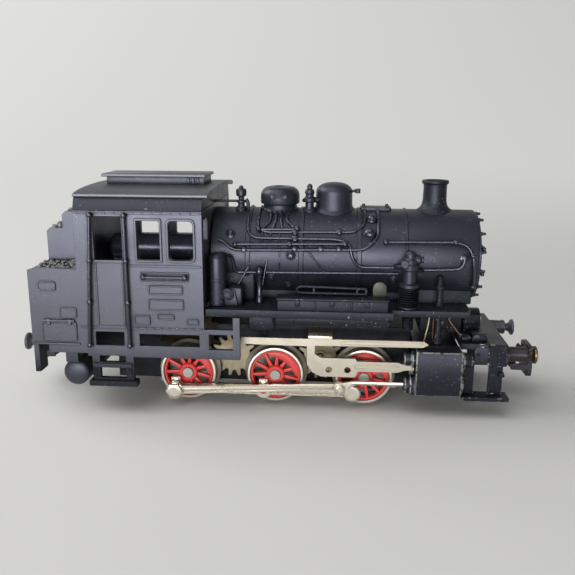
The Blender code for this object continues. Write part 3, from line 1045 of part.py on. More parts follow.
def build_mountings():
    """Chimney, domes, the body screw under the sand dome, the air pump and the feed tank."""
    low = BOILER_TOP - 2.0
    chimney = turned([(0, low), (CHIMNEY_FLARE, low), (CHIMNEY_FLARE, BOILER_TOP - 0.6),
                      (CHIMNEY_RADIUS + 0.35, BOILER_TOP + 0.7),
                      (CHIMNEY_RADIUS, BOILER_TOP + 1.6), (CHIMNEY_RADIUS,
                                                           CHIMNEY_TOP - 1.0), (CHIMNEY_RIM,
                                                                                CHIMNEY_TOP - 0.7),
                      (CHIMNEY_RIM, CHIMNEY_TOP), (CHIMNEY_BORE, CHIMNEY_TOP), (CHIMNEY_BORE, BOILER_TOP
                                                                                + 1.0),
                      (0, BOILER_TOP + 1.0)], "Z", (CHIMNEY_X, 0.0), 24)
    finished("chimney", seated(chimney), "black_paint")
    radius = STEAM_DOME_RADIUS
    shoulder = STEAM_DOME_TOP - 1.9
    dome = turned([(0, low), (radius + 0.5, low), (radius + 0.5, BOILER_TOP - 0.5),
                   (radius, BOILER_TOP + 0.4), (radius, shoulder)]
                  + [(radius * math.cos(a), shoulder + 1.9 * math.sin(a)) for a in (0.45, 0.9, 1.25)]
                  + [(0, STEAM_DOME_TOP)], "Z", (STEAM_DOME_X, 0.0), 24)
    finished("steam_dome", seated(dome), "black_paint")
    head_seat = SCREW_HEAD_TOP - 1.2
    hole, well = SCREW_RADIUS + RUNNING_FIT, SCREW_HEAD + RUNNING_FIT
    neck, brim, brim_z = SAND_DOME_NECK, SAND_DOME_BRIM, SAND_DOME_BRIM_BOTTOM
    seat = head_seat - RUNNING_FIT
    sand = turned([(hole, low), (neck, low), (neck, brim_z - 0.3), (brim, brim_z), (brim, brim_z + 0.8),
                   (neck, SAND_DOME_TOP - 0.9), (neck - 0.7, SAND_DOME_TOP), (well, SAND_DOME_TOP),
                   (well, seat), (hole, seat)], "Z", (SAND_DOME_X, 0.0), ring=True)
    finished("sand_dome", seated(sand), "black_paint")
    screw = turned([(0, SCREW_TIP), (SCREW_RADIUS, SCREW_TIP), (SCREW_RADIUS, head_seat),
                    (SCREW_HEAD, head_seat),
                    (SCREW_HEAD, SCREW_HEAD_TOP), (0, SCREW_HEAD_TOP)], "Z", (SAND_DOME_X, 0.0), 12)
    finished("body_screw", screw, "steel")
    base = BOARD_TOP + SEAT_GAP
    rise = PUMP_TOP - base
    ribs = [(PUMP_RADIUS - (0.3 if k % 2 else 0.0), base + rise * (0.02 + 0.05 * k)) for k in range(8)]
    pump = turned([(0, base), (PUMP_RADIUS - 0.2, base)] + ribs
                  + [(PUMP_RADIUS * 0.55, base + 0.42 * rise), (PUMP_RADIUS * 0.55, base + 0.52 * rise),
                     (PUMP_RADIUS * 0.95, base + 0.56 * rise), (PUMP_RADIUS * 0.95, base + 0.92 * rise),
                     (PUMP_RADIUS * 0.5, PUMP_TOP), (0, PUMP_TOP)], "Z", (PUMP_X, -PUMP_Y), 18)
    finished("air_pump", pump, "black_paint")
    tank = turned([(0, base), (FEED_TANK_RADIUS, base), (FEED_TANK_RADIUS, FEED_TANK_TOP - 0.8),
                   (FEED_TANK_RADIUS * 0.6, FEED_TANK_TOP), (0, FEED_TANK_TOP)], "Z", (FEED_TANK_X,
                                                                                       -FEED_TANK_Y), 18)
    finished("feed_tank", tank, "black_paint")


def cab_side_outline():
    """One side of the cab with its sill, step frame and bunker side, and the openings in it."""
    post_top = BOARD_BOTTOM - SEAT_GAP
    rail = CAB_SIDE_BOTTOM
    outline = [(BUNKER_REAR, BUNKER_BOTTOM), (BUNKER_SKIRT_REAR, BUNKER_BOTTOM),
               (BUNKER_SKIRT_REAR, BUNKER_SKIRT),
               (STEP_REAR - 0.8, BUNKER_SKIRT), (STEP_REAR - 0.8, SILL_BOTTOM), (STEP_REAR, SILL_BOTTOM),
               (STEP_REAR, STEP_BOTTOM), (STEP_FRONT, STEP_BOTTOM), (STEP_FRONT, SILL_BOTTOM), (SILL_FRONT,
                                                                                                SILL_BOTTOM),
               (SILL_FRONT, post_top), (SILL_FRONT - POST_WIDTH, post_top), (SILL_FRONT - POST_WIDTH, rail),
               (CAB_FRONT, rail), (CAB_FRONT, CAB_SIDE_TOP), (CAB_REAR, CAB_SIDE_TOP), (CAB_REAR,
                                                                                        BUNKER_SIDE_TOP),
               (BUNKER_SLOPE_START, BUNKER_SIDE_TOP), (BUNKER_REAR, BUNKER_REAR_TOP)]
    glass = (WINDOW_BOTTOM, WINDOW_TOP)
    stile = (STEP_REAR + STEP_STILE, STEP_FRONT - STEP_STILE)
    holes = [rectangle(REAR_WINDOW, glass, WINDOW_CORNER / 2),
             rectangle(FRONT_WINDOW, glass, WINDOW_CORNER),
             rectangle(DOORWAY, (DOORWAY_BOTTOM, DOORWAY_TOP)),
             rectangle((DOORWAY[0] - 0.7, DOORWAY[1] - 0.5), (SILL_TOP + 0.4, CAB_SIDE_BOTTOM - 0.9)),
             rectangle(LOWER_OPENING, (SILL_TOP + 0.5, LOWER_OPENING_TOP)),
             rectangle((CAB_FRONT + 0.9, SILL_FRONT - POST_WIDTH), (SILL_TOP, rail - 1.0)),
             rectangle(stile, (STEP_BOTTOM + 1.4, STEP_TREAD - 0.2)),
             rectangle(stile, (STEP_TREAD + STEP_TREAD_THICKNESS + 0.2, SILL_BOTTOM + 0.2))]
    return outline, holes


def build_cab():
    """The cab and bunker casting: two pierced sides, end walls, coal space, steps and rear guards."""
    outline, holes = cab_side_outline()
    overlap = CAB_INNER + 0.3
    low_front = BOARD_TOP + SEAT_GAP
    deck_top = COAL_DECK_BOTTOM + COAL_DECK_THICKNESS
    spectacles = [rectangle(tuple(sorted((s * SPECTACLE_INNER, s * SPECTACLE_OUTER))),
                            (SPECTACLE_BOTTOM, WINDOW_TOP))
                  for s in SIDES.values()]
    front = plate(rectangle((-overlap, overlap), (low_front, CAB_SIDE_TOP - 0.05)), "X",
                  CAB_FRONT - CAB_WALL, CAB_FRONT - 0.05,
                  spectacles)
    rear = block((CAB_REAR + 0.05, CAB_REAR + CAB_WALL), (-overlap, overlap),
                 (COAL_DECK_BOTTOM + 0.2, CAB_SIDE_TOP - 0.05))
    tail = block((BUNKER_REAR + 0.05, BUNKER_REAR + CAB_WALL + 0.4), (-overlap, overlap),
                 (TAIL_TOP + SEAT_GAP, BUNKER_REAR_TOP - 0.1))
    deck = block((BUNKER_REAR + 0.5, CAB_REAR + 0.6), (-overlap, overlap), (COAL_DECK_BOTTOM, deck_top))
    foot = COAL_DECK_BOTTOM + COAL_DECK_THICKNESS / 2
    steps = [(COAL_BOX_REAR, foot), (COAL_BOX_REAR, COAL_BOX_LOW - COAL_BOX_EASE),
             (COAL_BOX_REAR + COAL_BOX_EASE, COAL_BOX_LOW), (COAL_BOX_STEP, COAL_BOX_LOW),
             (COAL_BOX_STEP, COAL_BOX_HIGH - COAL_BOX_EASE), (COAL_BOX_STEP + COAL_BOX_EASE, COAL_BOX_HIGH),
             (CAB_REAR + 0.3, COAL_BOX_HIGH), (CAB_REAR + 0.3, foot)]
    coal_box = plate(steps, "Y", -COAL_BOX_HALF_WIDTH, COAL_BOX_HALF_WIDTH)
    seat = block((BUNKER_REAR + 0.3, BUNKER_REAR + 0.3 + CAB_SEAT_LENGTH),
                 (1 - FRAME_HALF_WIDTH, FRAME_HALF_WIDTH - 1),
                 (TAIL_TOP + SEAT_GAP, TAIL_TOP + SEAT_GAP + CAB_SEAT_HEIGHT))
    parts = [front, rear, tail, deck, coal_box, seat]
    for side in SIDES.values():
        parts.append(plate(outline, "Y", side * CAB_INNER, side * CAB_HALF_WIDTH, holes))
        parts += [block(*ranges) for ranges in cab_trim(side)]
    finished("cab_casting", joined(parts[0], *parts[1:]), "black_paint")


def cab_trim(side):
    """The boxes of one side: two step boards, the rear guard and the hanger over the air tank."""
    def across(inner, outer):
        return tuple(sorted((side * inner, side * outer)))
    board = across(CAB_INNER - 0.6, CAB_HALF_WIDTH + STEP_PROUD)
    tread = across(CAB_INNER - 0.4, CAB_HALF_WIDTH + STEP_PROUD - 0.2)
    hanger = (AIR_TANK_X - TANK_HANGER_WIDTH / 2, AIR_TANK_X + TANK_HANGER_WIDTH / 2)
    tank_top = AIR_TANK_HEIGHT + AIR_TANK_RADIUS + SEAT_GAP
    return [((STEP_REAR - 0.7, STEP_FRONT + 0.7), board, (STEP_BOTTOM - 0.2, STEP_BOTTOM + 0.9)),
            ((STEP_REAR + 0.3, STEP_FRONT - 0.3), tread, (STEP_TREAD, STEP_TREAD + STEP_TREAD_THICKNESS)),
            ((BUNKER_REAR + 0.1, BUNKER_REAR + 1.2),
             across(CAB_HALF_WIDTH - GUARD_WIDTH, CAB_HALF_WIDTH - 0.1),
             (GUARD_BOTTOM, BUNKER_BOTTOM + 1.5)),
            (hanger, across(CAB_INNER - TANK_HANGER_THICKNESS - 0.6, CAB_INNER + 0.4),
             (tank_top, BUNKER_SKIRT + 1.2))]


def roof_arc(half_width, foot, rise, steps=10):
    """Points of the roof from the left eave over the crown to the right, as a flat half ellipse."""
    return [(half_width * math.cos(math.pi * k / steps), foot + rise * math.sin(math.pi * k / steps))
            for k in range(steps + 1)]


def build_roof():
    """The cab roof: leaning upper sides, closed gables, eaves with a lip, a low crown and the ventilator."""
    bottom = CAB_SIDE_TOP + SEAT_GAP / 2
    lip = EAVE_HALF_WIDTH + EAVE_LIP
    inner_eave = EAVE_HALF_WIDTH - ROOF_WALL
    crown = roof_arc(EAVE_HALF_WIDTH, EAVE_HEIGHT + EAVE_THICKNESS, ROOF_RISE)
    under = [(-y, z) for y, z in roof_arc(inner_eave, EAVE_HEIGHT - 0.3, ROOF_RISE)]
    lean = [(CAB_HALF_WIDTH, bottom), (EAVE_HALF_WIDTH, EAVE_HEIGHT)]
    shell = lean + crown + [(-y, z) for y, z in reversed(lean)]
    outline = shell + [(-CAB_INNER, bottom)] + under + [(CAB_INNER, bottom)]
    hood = plate(outline, "X", CAB_REAR, CAB_FRONT)
    gables = [plate(shell, "X", start, start + GABLE_WALL) for start in (CAB_REAR, CAB_FRONT - GABLE_WALL)]
    lip_top = EAVE_HEIGHT + EAVE_THICKNESS
    top = [(lip, EAVE_HEIGHT), (lip, lip_top)] + crown[1:-1] + [(-lip, lip_top), (-lip, EAVE_HEIGHT)]
    soffit = [(-y, z) for y, z in roof_arc(inner_eave, EAVE_HEIGHT - 0.2, ROOF_RISE - 0.2)]
    sheet = plate(top + soffit, "X", CAB_REAR - 0.05, CAB_FRONT + ROOF_OVERHANG)
    foot = CROWN_HEIGHT - ROOF_WALL
    box = block((VENT_REAR + VENT_INSET, VENT_FRONT - VENT_INSET / 2),
                (VENT_INSET - VENT_HALF_WIDTH, VENT_HALF_WIDTH - VENT_INSET),
                (foot, VENT_TOP - VENT_PLATE / 2))
    lid = block((VENT_REAR, VENT_FRONT), (-VENT_HALF_WIDTH, VENT_HALF_WIDTH),
                (VENT_TOP - VENT_PLATE, VENT_TOP))
    finished("cab_roof", joined(hood, *gables, sheet, box, lid), "black_paint")


def build_air_tank():
    """The main air reservoir across the engine under the bunker, with domed ends."""
    straight = AIR_TANK_HALF_LENGTH - AIR_TANK_RADIUS * 0.7
    dome = [(AIR_TANK_RADIUS * math.cos(a), straight + AIR_TANK_RADIUS * 0.7 * math.sin(a))
            for a in (0.0, 0.5, 1.0, math.pi / 2)]
    dome[-1] = (0, AIR_TANK_HALF_LENGTH)
    profile = [(r, -y) for r, y in reversed(dome)] + dome
    finished("rear_air_tank", turned(profile, "Y", (AIR_TANK_X, AIR_TANK_HEIGHT), 22), "black_paint")


for leftover in list(bpy.data.objects):
    bpy.data.objects.remove(leftover)

build_chassis()
build_gears()
build_motor()
build_wheelsets()
build_rods()
build_front()
build_brackets()
build_buffers()
build_couplers()
build_boiler()
build_mountings()
build_cab()
build_roof()
build_air_tank()
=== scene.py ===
"""Looks of a small model tank engine: a die-cast body in black paint over red wheels and plated rods."""
import json
import math

import bmesh
import bpy
import numpy as np
from mathutils import Matrix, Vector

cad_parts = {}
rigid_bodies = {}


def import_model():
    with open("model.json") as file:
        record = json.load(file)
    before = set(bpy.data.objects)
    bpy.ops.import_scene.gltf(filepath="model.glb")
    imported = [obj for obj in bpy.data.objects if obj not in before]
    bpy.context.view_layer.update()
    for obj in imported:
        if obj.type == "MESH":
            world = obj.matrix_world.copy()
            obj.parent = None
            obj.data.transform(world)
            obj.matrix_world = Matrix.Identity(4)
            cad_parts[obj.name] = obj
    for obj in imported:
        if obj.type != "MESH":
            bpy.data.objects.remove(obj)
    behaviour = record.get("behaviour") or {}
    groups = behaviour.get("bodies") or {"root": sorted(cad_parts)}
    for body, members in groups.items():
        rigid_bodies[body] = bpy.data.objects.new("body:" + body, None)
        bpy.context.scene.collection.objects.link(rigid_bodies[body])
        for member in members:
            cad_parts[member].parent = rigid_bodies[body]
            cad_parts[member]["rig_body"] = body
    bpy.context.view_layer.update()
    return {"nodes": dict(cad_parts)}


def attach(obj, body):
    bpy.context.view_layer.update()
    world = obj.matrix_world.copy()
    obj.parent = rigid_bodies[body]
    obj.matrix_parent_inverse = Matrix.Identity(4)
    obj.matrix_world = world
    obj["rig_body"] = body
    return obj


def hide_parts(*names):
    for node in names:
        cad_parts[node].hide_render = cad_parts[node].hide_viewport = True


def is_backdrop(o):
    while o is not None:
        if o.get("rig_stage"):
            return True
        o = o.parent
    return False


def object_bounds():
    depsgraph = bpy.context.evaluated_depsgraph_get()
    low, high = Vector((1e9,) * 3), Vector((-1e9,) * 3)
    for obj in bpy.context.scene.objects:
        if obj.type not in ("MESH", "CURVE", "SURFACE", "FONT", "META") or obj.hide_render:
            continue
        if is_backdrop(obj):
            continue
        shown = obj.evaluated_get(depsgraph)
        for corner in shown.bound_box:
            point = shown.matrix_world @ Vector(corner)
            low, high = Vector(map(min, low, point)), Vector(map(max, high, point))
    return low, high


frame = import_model()
nodes = frame["nodes"]

# The chassis frame is one zinc die casting with slots for the axles, closed below by a pressed keeper.
# It is left bare, in a near-black tone; the keeper and the shoe under it are of bright steel.
MM = 0.001
RELIEF = 0.05 * MM


def linear(colour):
    """An sRGB hex colour in linear light: c / 12.92 in the darks, ((c + 0.055) / 1.055) ** 2.4 above."""
    c = np.array([int(colour[i:i + 2], 16) for i in (1, 3, 5)]) / 255
    return (*np.where(c <= 0.04045, c / 12.92, ((c + 0.055) / 1.055) ** 2.4), 1.0)


def add(tree, kind, sockets=None, **settings):
    """Adds a node with its settings; a socket is given a value, or another node's output to link."""
    made = tree.nodes.new("ShaderNode" + kind)
    for key, value in settings.items():
        setattr(made, key, value)
    for key, value in (sockets or {}).items():
        if isinstance(value, bpy.types.NodeSocket):
            tree.links.new(value, made.inputs[key])
        else:
            made.inputs[key].default_value = value
    return made


def surface(name, **sockets):
    """A material with one principled shader, whose uniform sockets are set directly."""
    made = bpy.data.materials.new(name)
    made.use_nodes = True
    made.node_tree.nodes.clear()
    shader = add(made.node_tree, "BsdfPrincipled", {k.replace("_", " "): v for k, v in sockets.items()})
    add(made.node_tree, "OutputMaterial", {"Surface": shader.outputs["BSDF"]})
    where = add(made.node_tree, "TexCoord").outputs["Object"]
    return made, made.node_tree, shader, where


def per_mm(size):
    """The texture scale at which one feature of a pattern is about this many millimetres."""
    return 1.0 / MM / size


def metal(name, dark, pale, rough, patch, grain, bump, tarnish_and_shade):
    """Bare or plated metal: two tones in patches, a roughness that follows them, fine grain as bump.

    patch and grain are sizes in millimetres, the last colour is that of the dirt and the painted shade that
    sit in hollows, and RELIEF is how deep the grain is taken to be.
    """
    made, tree, shader, where = surface(name, Metallic=1.0)
    cloud = add(tree, "TexNoise", {"Vector": where, "Scale": per_mm(patch), "Detail": 5.0, "Roughness": 0.6})
    tone = add(tree, "Mix", {0: cloud.outputs["Fac"], 6: linear(dark), 7: linear(pale)}, data_type="RGBA")
    # Dirt and painted shade: hollows found by ambient occlusion are mixed towards the last colour.
    hollow = add(tree, "AmbientOcclusion", {"Distance": 1.2 * MM}, samples=4)
    dirt_and_shade = add(tree, "MapRange", {"Value": hollow.outputs["AO"], 1: 0.75, 2: 0.2, 3: 0.0, 4: 0.85})
    soiled_and_shaded = add(tree, "Mix", {0: dirt_and_shade.outputs["Result"], 6: tone.outputs[2], 7: linear(tarnish_and_shade)},
                 data_type="RGBA")
    tree.links.new(soiled_and_shaded.outputs[2], shader.inputs["Base Color"])
    dull = add(tree, "MapRange", {"Value": cloud.outputs["Fac"], 1: 0.3, 2: 0.7, 3: rough + 0.12, 4: rough})
    tree.links.new(dull.outputs["Result"], shader.inputs["Roughness"])
    fine = add(tree, "TexNoise", {"Vector": where, "Scale": per_mm(grain), "Detail": 2.0})
    raised = add(tree, "Bump", {"Height": fine.outputs["Fac"], "Strength": bump, "Distance": RELIEF})
    tree.links.new(raised.outputs["Normal"], shader.inputs["Normal"])
    return made


def softened(mesh, edge):
    """Merges a mesh's doubles, drops the lines across flat faces and shades it by the angle of its edges."""
    shape = bmesh.new()
    shape.from_mesh(mesh)
    bmesh.ops.remove_doubles(shape, verts=shape.verts, dist=1e-6)
    bmesh.ops.dissolve_limit(shape, angle_limit=math.radians(1.0), verts=shape.verts, edges=shape.edges)
    shape.to_mesh(mesh)
    shape.free()
    mesh.shade_smooth()
    mesh.set_sharp_from_angle(angle=math.radians(edge))


def dressed(node, finish, edge=0.0):
    """A solid's own shape as a piece: a merged copy of its mesh with its edges rounded, in its place."""
    made = bpy.data.objects.new(node + "_finish", nodes[node].data.copy())
    bpy.context.scene.collection.objects.link(made)
    softened(made.data, 32.0)
    made.data.materials.clear()
    made.data.materials.append(finish)
    if edge:
        bevel = made.modifiers.new("rounded_edges", "BEVEL")
        bevel.width = edge * MM
        bevel.segments = 2
        bevel.limit_method = "ANGLE"
        bevel.angle_limit = math.radians(38.0)
        bevel.use_clamp_overlap = True
        bevel.harden_normals = False
    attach(made, nodes[node]["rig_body"])
    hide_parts(node)


bare_zinc = metal("bare_zinc_casting", "#3a3a38", "#54544f", 0.5, 4.0, 0.12, 0.35, "#2c2a26")
near_black_zinc = metal("zinc_casting_near_black", "#1b1c1e", "#313236", 0.45, 4.0, 0.12, 0.35, "#0c0b0a")
pressed_steel = metal("pressed_bright_steel", "#8f8c86", "#b9b6ae", 0.3, 3.0, 0.1, 0.2, "#3a342c")
dressed("chassis_frame", near_black_zinc, 0.15)
dressed("keeper_plate", pressed_steel, 0.1)
dressed("pickup_shoe", pressed_steel, 0.1)

# The motor lies across the rear of the frame: stacked iron plates round an armature, with a brown board
# that carries the brushes, and a round relay over it. Brass gears run down the right side to the axles.


def laid_board(name, dark, pale, rough):
    """Pressed fibre board: short streaks a few tenths of a millimetre long in two browns."""
    made, tree, shader, where = surface(name, Roughness=rough, IOR=1.5)
    streak = add(tree, "Mapping", {"Vector": where, "Scale": (1.0, 1.0, 4.0)})
    fibre = add(tree, "TexNoise", {"Vector": streak.outputs[0], "Scale": per_mm(0.5), "Detail": 4.0})
    tone = add(tree, "Mix", {0: fibre.outputs["Fac"], 6: linear(dark), 7: linear(pale)}, data_type="RGBA")
    tree.links.new(tone.outputs[2], shader.inputs["Base Color"])
    return made


cut_brass = metal("cut_brass", "#1d1a14", "#302a1e", 0.36, 2.0, 0.15, 0.3, "#2b2012")
plated_brass = metal("plated_brass", "#776e5b", "#a99f87", 0.34, 1.5, 0.2, 0.3, "#15130f")
iron_stack = metal("stacked_iron_plates", "#3f3c3a", "#63605c", 0.45, 1.2, 0.25, 0.6, "#1c1a18")
brown_board = laid_board("pressed_fibre_board", "#4b2e1c", "#7a4f31", 0.55)
dressed("reduction_gear", cut_brass)
for node in ("idler_gear_rear", "idler_gear_front"):
    dressed(node, plated_brass)
for node in ("axle_rear", "axle_middle", "axle_front", "armature"):
    dressed(node, pressed_steel)
dressed("motor_field", iron_stack, 0.1)
dressed("brush_plate", brown_board, 0.1)

# Six wheels: a plated steel tyre with its flange, pressed on a red-painted cast centre with eleven spokes,
# a hub, a crank boss and, opposite the crank, a crescent that balances the rods. The axle ends are bare.


def placed(axis, a, b, along):
    """Points from two coordinates across an axis and one along it, as an array that ends in x, y, z."""
    order = {"X": (along, a, b), "Y": (a, along, b), "Z": (a, b, along)}[axis]
    return np.stack(np.broadcast_arrays(*order), -1).astype(float)


def woven(grid, looped=False):
    """Faces between the neighbours of a grid of rows: each row is a closed ring of points.

    looped joins the last row to the first; otherwise the first and the last ring are filled with a face.
    """
    rows, ring = grid.shape[:2]
    r, c = np.meshgrid(np.arange(rows if looped else rows - 1), np.arange(ring), indexing="ij")
    below, beside = (r + 1) % rows, (c + 1) % ring
    quads = np.stack([r * ring + c, r * ring + beside, below * ring + beside, below * ring + c], -1)
    faces = quads.reshape(-1, 4).tolist()
    if not looped:
        faces += [list(range(ring)), list(range((rows - 1) * ring, rows * ring))]
    return grid.reshape(-1, 3), faces


def turned(profile, axis, centre, steps=48, looped=False):
    """A profile of (radius, height) points carried round an axis: r cos t, r sin t, h for t over a turn."""
    radius, along = np.array(profile, float).T[:, :, None]
    t = np.linspace(0, 2 * math.pi, steps, endpoint=False)
    return woven(placed(axis, centre[0] + radius * np.cos(t), centre[1] + radius * np.sin(t), along), looped)


def faced(profile, side, spot, steps=48, looped=False):
    """A shape turned about an axis across the engine: its profile's heights run out to one side."""
    return turned([(r, side * y) for r, y in profile], "Y", spot, steps, looped)


def eased(points, reach, steps=3, closed=True):
    """Rounds a line's corners: from P each way by reach, then (1-s)^2 A + 2s(1-s) P + s^2 B between.

    A corner takes at most 0.48 of the edges beside it, so that neighbours don't meet.
    """
    p = np.array(points, float)
    before, after = np.roll(p, 1, 0) - p, np.roll(p, -1, 0) - p
    far = [np.maximum(np.linalg.norm(v, axis=1, keepdims=True), 1e-9) for v in (before, after)]
    a, b = (p + v / f * np.minimum(reach, 0.48 * f) for v, f in zip((before, after), far))
    s = np.linspace(0, 1, steps + 1)[None, :, None]
    bent = (1 - s) ** 2 * a[:, None] + 2 * s * (1 - s) * p[:, None] + s ** 2 * b[:, None]
    if not closed:
        bent[0], bent[-1] = p[0], p[-1]
    return bent.reshape(-1, p.shape[1])


def inset(outline, amount):
    """An outline drawn inwards by an amount: each corner moves along (n0 + n1) / (1 + n0.n1).

    The divisor is kept above 0.35, so that a sharp corner doesn't run away.
    """
    p = np.array(outline, float)
    area = np.sum(p[:, 0] * np.roll(p[:, 1], -1) - p[:, 1] * np.roll(p[:, 0], -1))
    ahead = np.roll(p, -1, 0) - p
    ahead /= np.maximum(np.linalg.norm(ahead, axis=1, keepdims=True), 1e-9)
    n1 = np.stack([-ahead[:, 1], ahead[:, 0]], 1) * np.sign(area)
    n0 = np.roll(n1, 1, 0)
    share = np.maximum(1 + np.sum(n0 * n1, axis=1, keepdims=True), 0.35)
    return p + amount * (n0 + n1) / share


def slab(outline, axis, start, end, edge, steps=2):
    """An outline carried along an axis, drawn in by a quarter round of radius edge at both ends."""
    low, high = min(start, end), max(start, end)
    bend = np.linspace(0, math.pi / 2, steps + 1)
    draw = edge * (1 - np.sin(bend))
    lift = edge * (1 - np.cos(bend))
    rings = [(inset(outline, d), low + h) for d, h in zip(draw, lift)]
    rings += [(inset(outline, d), high - h) for d, h in zip(draw[::-1], lift[::-1])]
    return woven(np.stack([placed(axis, ring[:, 0], ring[:, 1], h) for ring, h in rings]))


def moved(shell, x=0.0, y=0.0, z=0.0):
    """A shell shifted along the three axes."""
    return shell[0] + np.array([x, y, z]), shell[1]


def piece(name, shells, finish, body="engine", stands_for=(), smooth=32.0):
    """One object from closed shells in millimetres, its poles merged and its faces turned outwards."""
    first = np.cumsum([0] + [len(points) for points, _ in shells])
    faces = [[i + n for i in face] for n, (_, some) in zip(first, shells) for face in some]
    mesh = bpy.data.meshes.new(name)
    mesh.from_pydata(np.concatenate([points for points, _ in shells]) * MM, [], faces)
    shape = bmesh.new()
    shape.from_mesh(mesh)
    bmesh.ops.remove_doubles(shape, verts=shape.verts, dist=2e-7)
    bmesh.ops.dissolve_degenerate(shape, dist=1e-8, edges=shape.edges)
    bmesh.ops.recalc_face_normals(shape, faces=shape.faces)
    shape.to_mesh(mesh)
    shape.free()
    mesh.shade_smooth()
    mesh.set_sharp_from_angle(angle=math.radians(smooth))
    mesh.materials.append(finish)
    made = bpy.data.objects.new(name, mesh)
    bpy.context.scene.collection.objects.link(made)
    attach(made, body)
    if stands_for:
        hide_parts(*stands_for)


def enamel(name, dark, pale, rough, patch, dirt_and_shade):
    """Brushed enamel on a casting: a cloudy colour with dirt and painted shade in its corners and a faint
    ripple.
    """
    made, tree, shader, where = surface(name, IOR=1.5)
    cloud = add(tree, "TexNoise", {"Vector": where, "Scale": per_mm(patch), "Detail": 4.0})
    tone = add(tree, "Mix", {0: cloud.outputs["Fac"], 6: linear(dark), 7: linear(pale)}, data_type="RGBA")
    # Dirt and painted shade: corners found by ambient occlusion are mixed towards the last colour.
    hollow = add(tree, "AmbientOcclusion", {"Distance": 0.9 * MM}, samples=4)
    soil_and_shade = add(tree, "MapRange", {"Value": hollow.outputs["AO"], 1: 0.7, 2: 0.15, 3: 0.0, 4: 0.8})
    soiled_and_shaded = add(tree, "Mix", {0: soil_and_shade.outputs["Result"], 6: tone.outputs[2], 7: linear(dirt_and_shade)},
                 data_type="RGBA")
    tree.links.new(soiled_and_shaded.outputs[2], shader.inputs["Base Color"])
    dull = add(tree, "MapRange", {"Value": cloud.outputs["Fac"], 3: rough, 4: rough + 0.15})
    tree.links.new(dull.outputs["Result"], shader.inputs["Roughness"])
    ripple = add(tree, "TexNoise", {"Vector": where, "Scale": per_mm(0.5), "Detail": 2.0})
    raised = add(tree, "Bump", {"Height": ripple.outputs["Fac"], "Strength": 0.25, "Distance": RELIEF})
    tree.links.new(raised.outputs["Normal"], shader.inputs["Normal"])
    return made


AXLES = {"rear": -19.1, "middle": 0.0, "front": 19.1}
SIDES = {"right": -1, "left": 1}
WHEEL_HEIGHT = 6.85
CRANK_THROW = 4.0
CRANK_TURN = {"right": math.radians(232.0), "left": math.radians(322.0)}
SPOKES = 11
HUB_RADIUS, RIM_INNER, RIM_OUTER = 2.05, 4.85, 5.42
SPOKE_BACK, SPOKE_FACE, HUB_FACE = 8.3, 9.8, 10.2
tyre_nickel = metal("worn_tyre_plating", "#bdb6a8", "#dad3c6", 0.38, 3.5, 0.14, 0.22, "#6a5b45")
nickel = metal("nickel_plated_steel", "#cdc6b8", "#eae3d6", 0.23, 3.5, 0.14, 0.22, "#6a5b45")
red_enamel = enamel("red_enamel", "#b92a28", "#dc3f3a", 0.36, 2.5, "#3a0d0c")
tyre_profile = [(5.46, 7.05), (6.45, 7.0), (6.75, 7.08), (6.85, 7.3), (6.78, 7.55), (6.4, 7.82),
                (6.17, 8.0), (6.13, 9.9), (6.02, 10.06), (5.88, 10.1), (5.62, 10.1), (5.46, 9.98)]
axle_cap = [(0, 10.0), (1.12, 10.0), (1.12, 10.4), (0.95, 10.52), (0.45, 10.55), (0.3, 10.45), (0, 10.42)]


def wheel_centre(side_name, side, pinned):
    """The spoked centre about its axle: rim, spokes, hub, boss and balance weight, all seen face on."""
    turn = CRANK_TURN[side_name]
    back, face = side * SPOKE_BACK, side * SPOKE_FACE
    shells = [faced([(RIM_INNER, SPOKE_BACK), (RIM_OUTER, SPOKE_BACK), (RIM_OUTER, 9.72), (5.3, SPOKE_FACE),
                     (5.0, SPOKE_FACE), (RIM_INNER, 9.66)], side, (0, 0), 64, looped=True),
              faced([(0, 7.7), (1.95, 7.7), (HUB_RADIUS, SPOKE_FACE), (1.95, 10.05), (1.8, HUB_FACE),
                     (1.2, HUB_FACE), (1.14, 10.1), (0, 10.1)], side, (0, 0))]
    along = np.array([1.6, RIM_INNER + 0.2])
    for k in range(SPOKES):
        angle = turn + math.pi + 2 * math.pi * k / SPOKES
        c, s = math.cos(angle), math.sin(angle)
        outline = [(along[0], -0.43), (along[1], -0.3), (along[1], 0.3), (along[0], 0.43)]
        spoke = [(a * c - b * s, a * s + b * c) for a, b in outline]
        shells.append(slab(spoke, "Y", back + side * 0.25, face - side * 0.1, 0.22))
    sweep = turn + math.pi + np.radians(np.linspace(-58, 58, 21))
    outer = np.stack([np.cos(sweep), np.sin(sweep)], 1) * (RIM_INNER + 0.2)
    depth = 3.55 + 0.9 * np.linspace(-1, 1, 21)[::-1, None] ** 2
    inner = np.stack([np.cos(sweep[::-1]), np.sin(sweep[::-1])], 1) * depth
    shells.append(slab(np.concatenate([outer, inner]), "Y", back + side * 0.3, face + side * 0.12, 0.15))
    pin = CRANK_THROW * np.array([math.cos(turn), math.sin(turn)])
    shells.append(faced([(0, 8.5), (1.4, 8.5), (1.45, 9.8), (1.3, 10.05), (0, 10.05)], side, pin, 32))
    across = np.array([-math.sin(turn), math.cos(turn)])
    web = [0.3 * pin + 1.5 * across, pin + 1.25 * across, pin - 1.25 * across, 0.3 * pin - 1.5 * across]
    shells.append(slab(web, "Y", side * 8.6, side * 9.95, 0.2))
    if pinned:
        shells.append(faced([(0, 9.6), (0.72, 9.6), (0.75, 11.42), (0.6, 11.5), (0, 11.5)], side, pin, 24))
    return shells


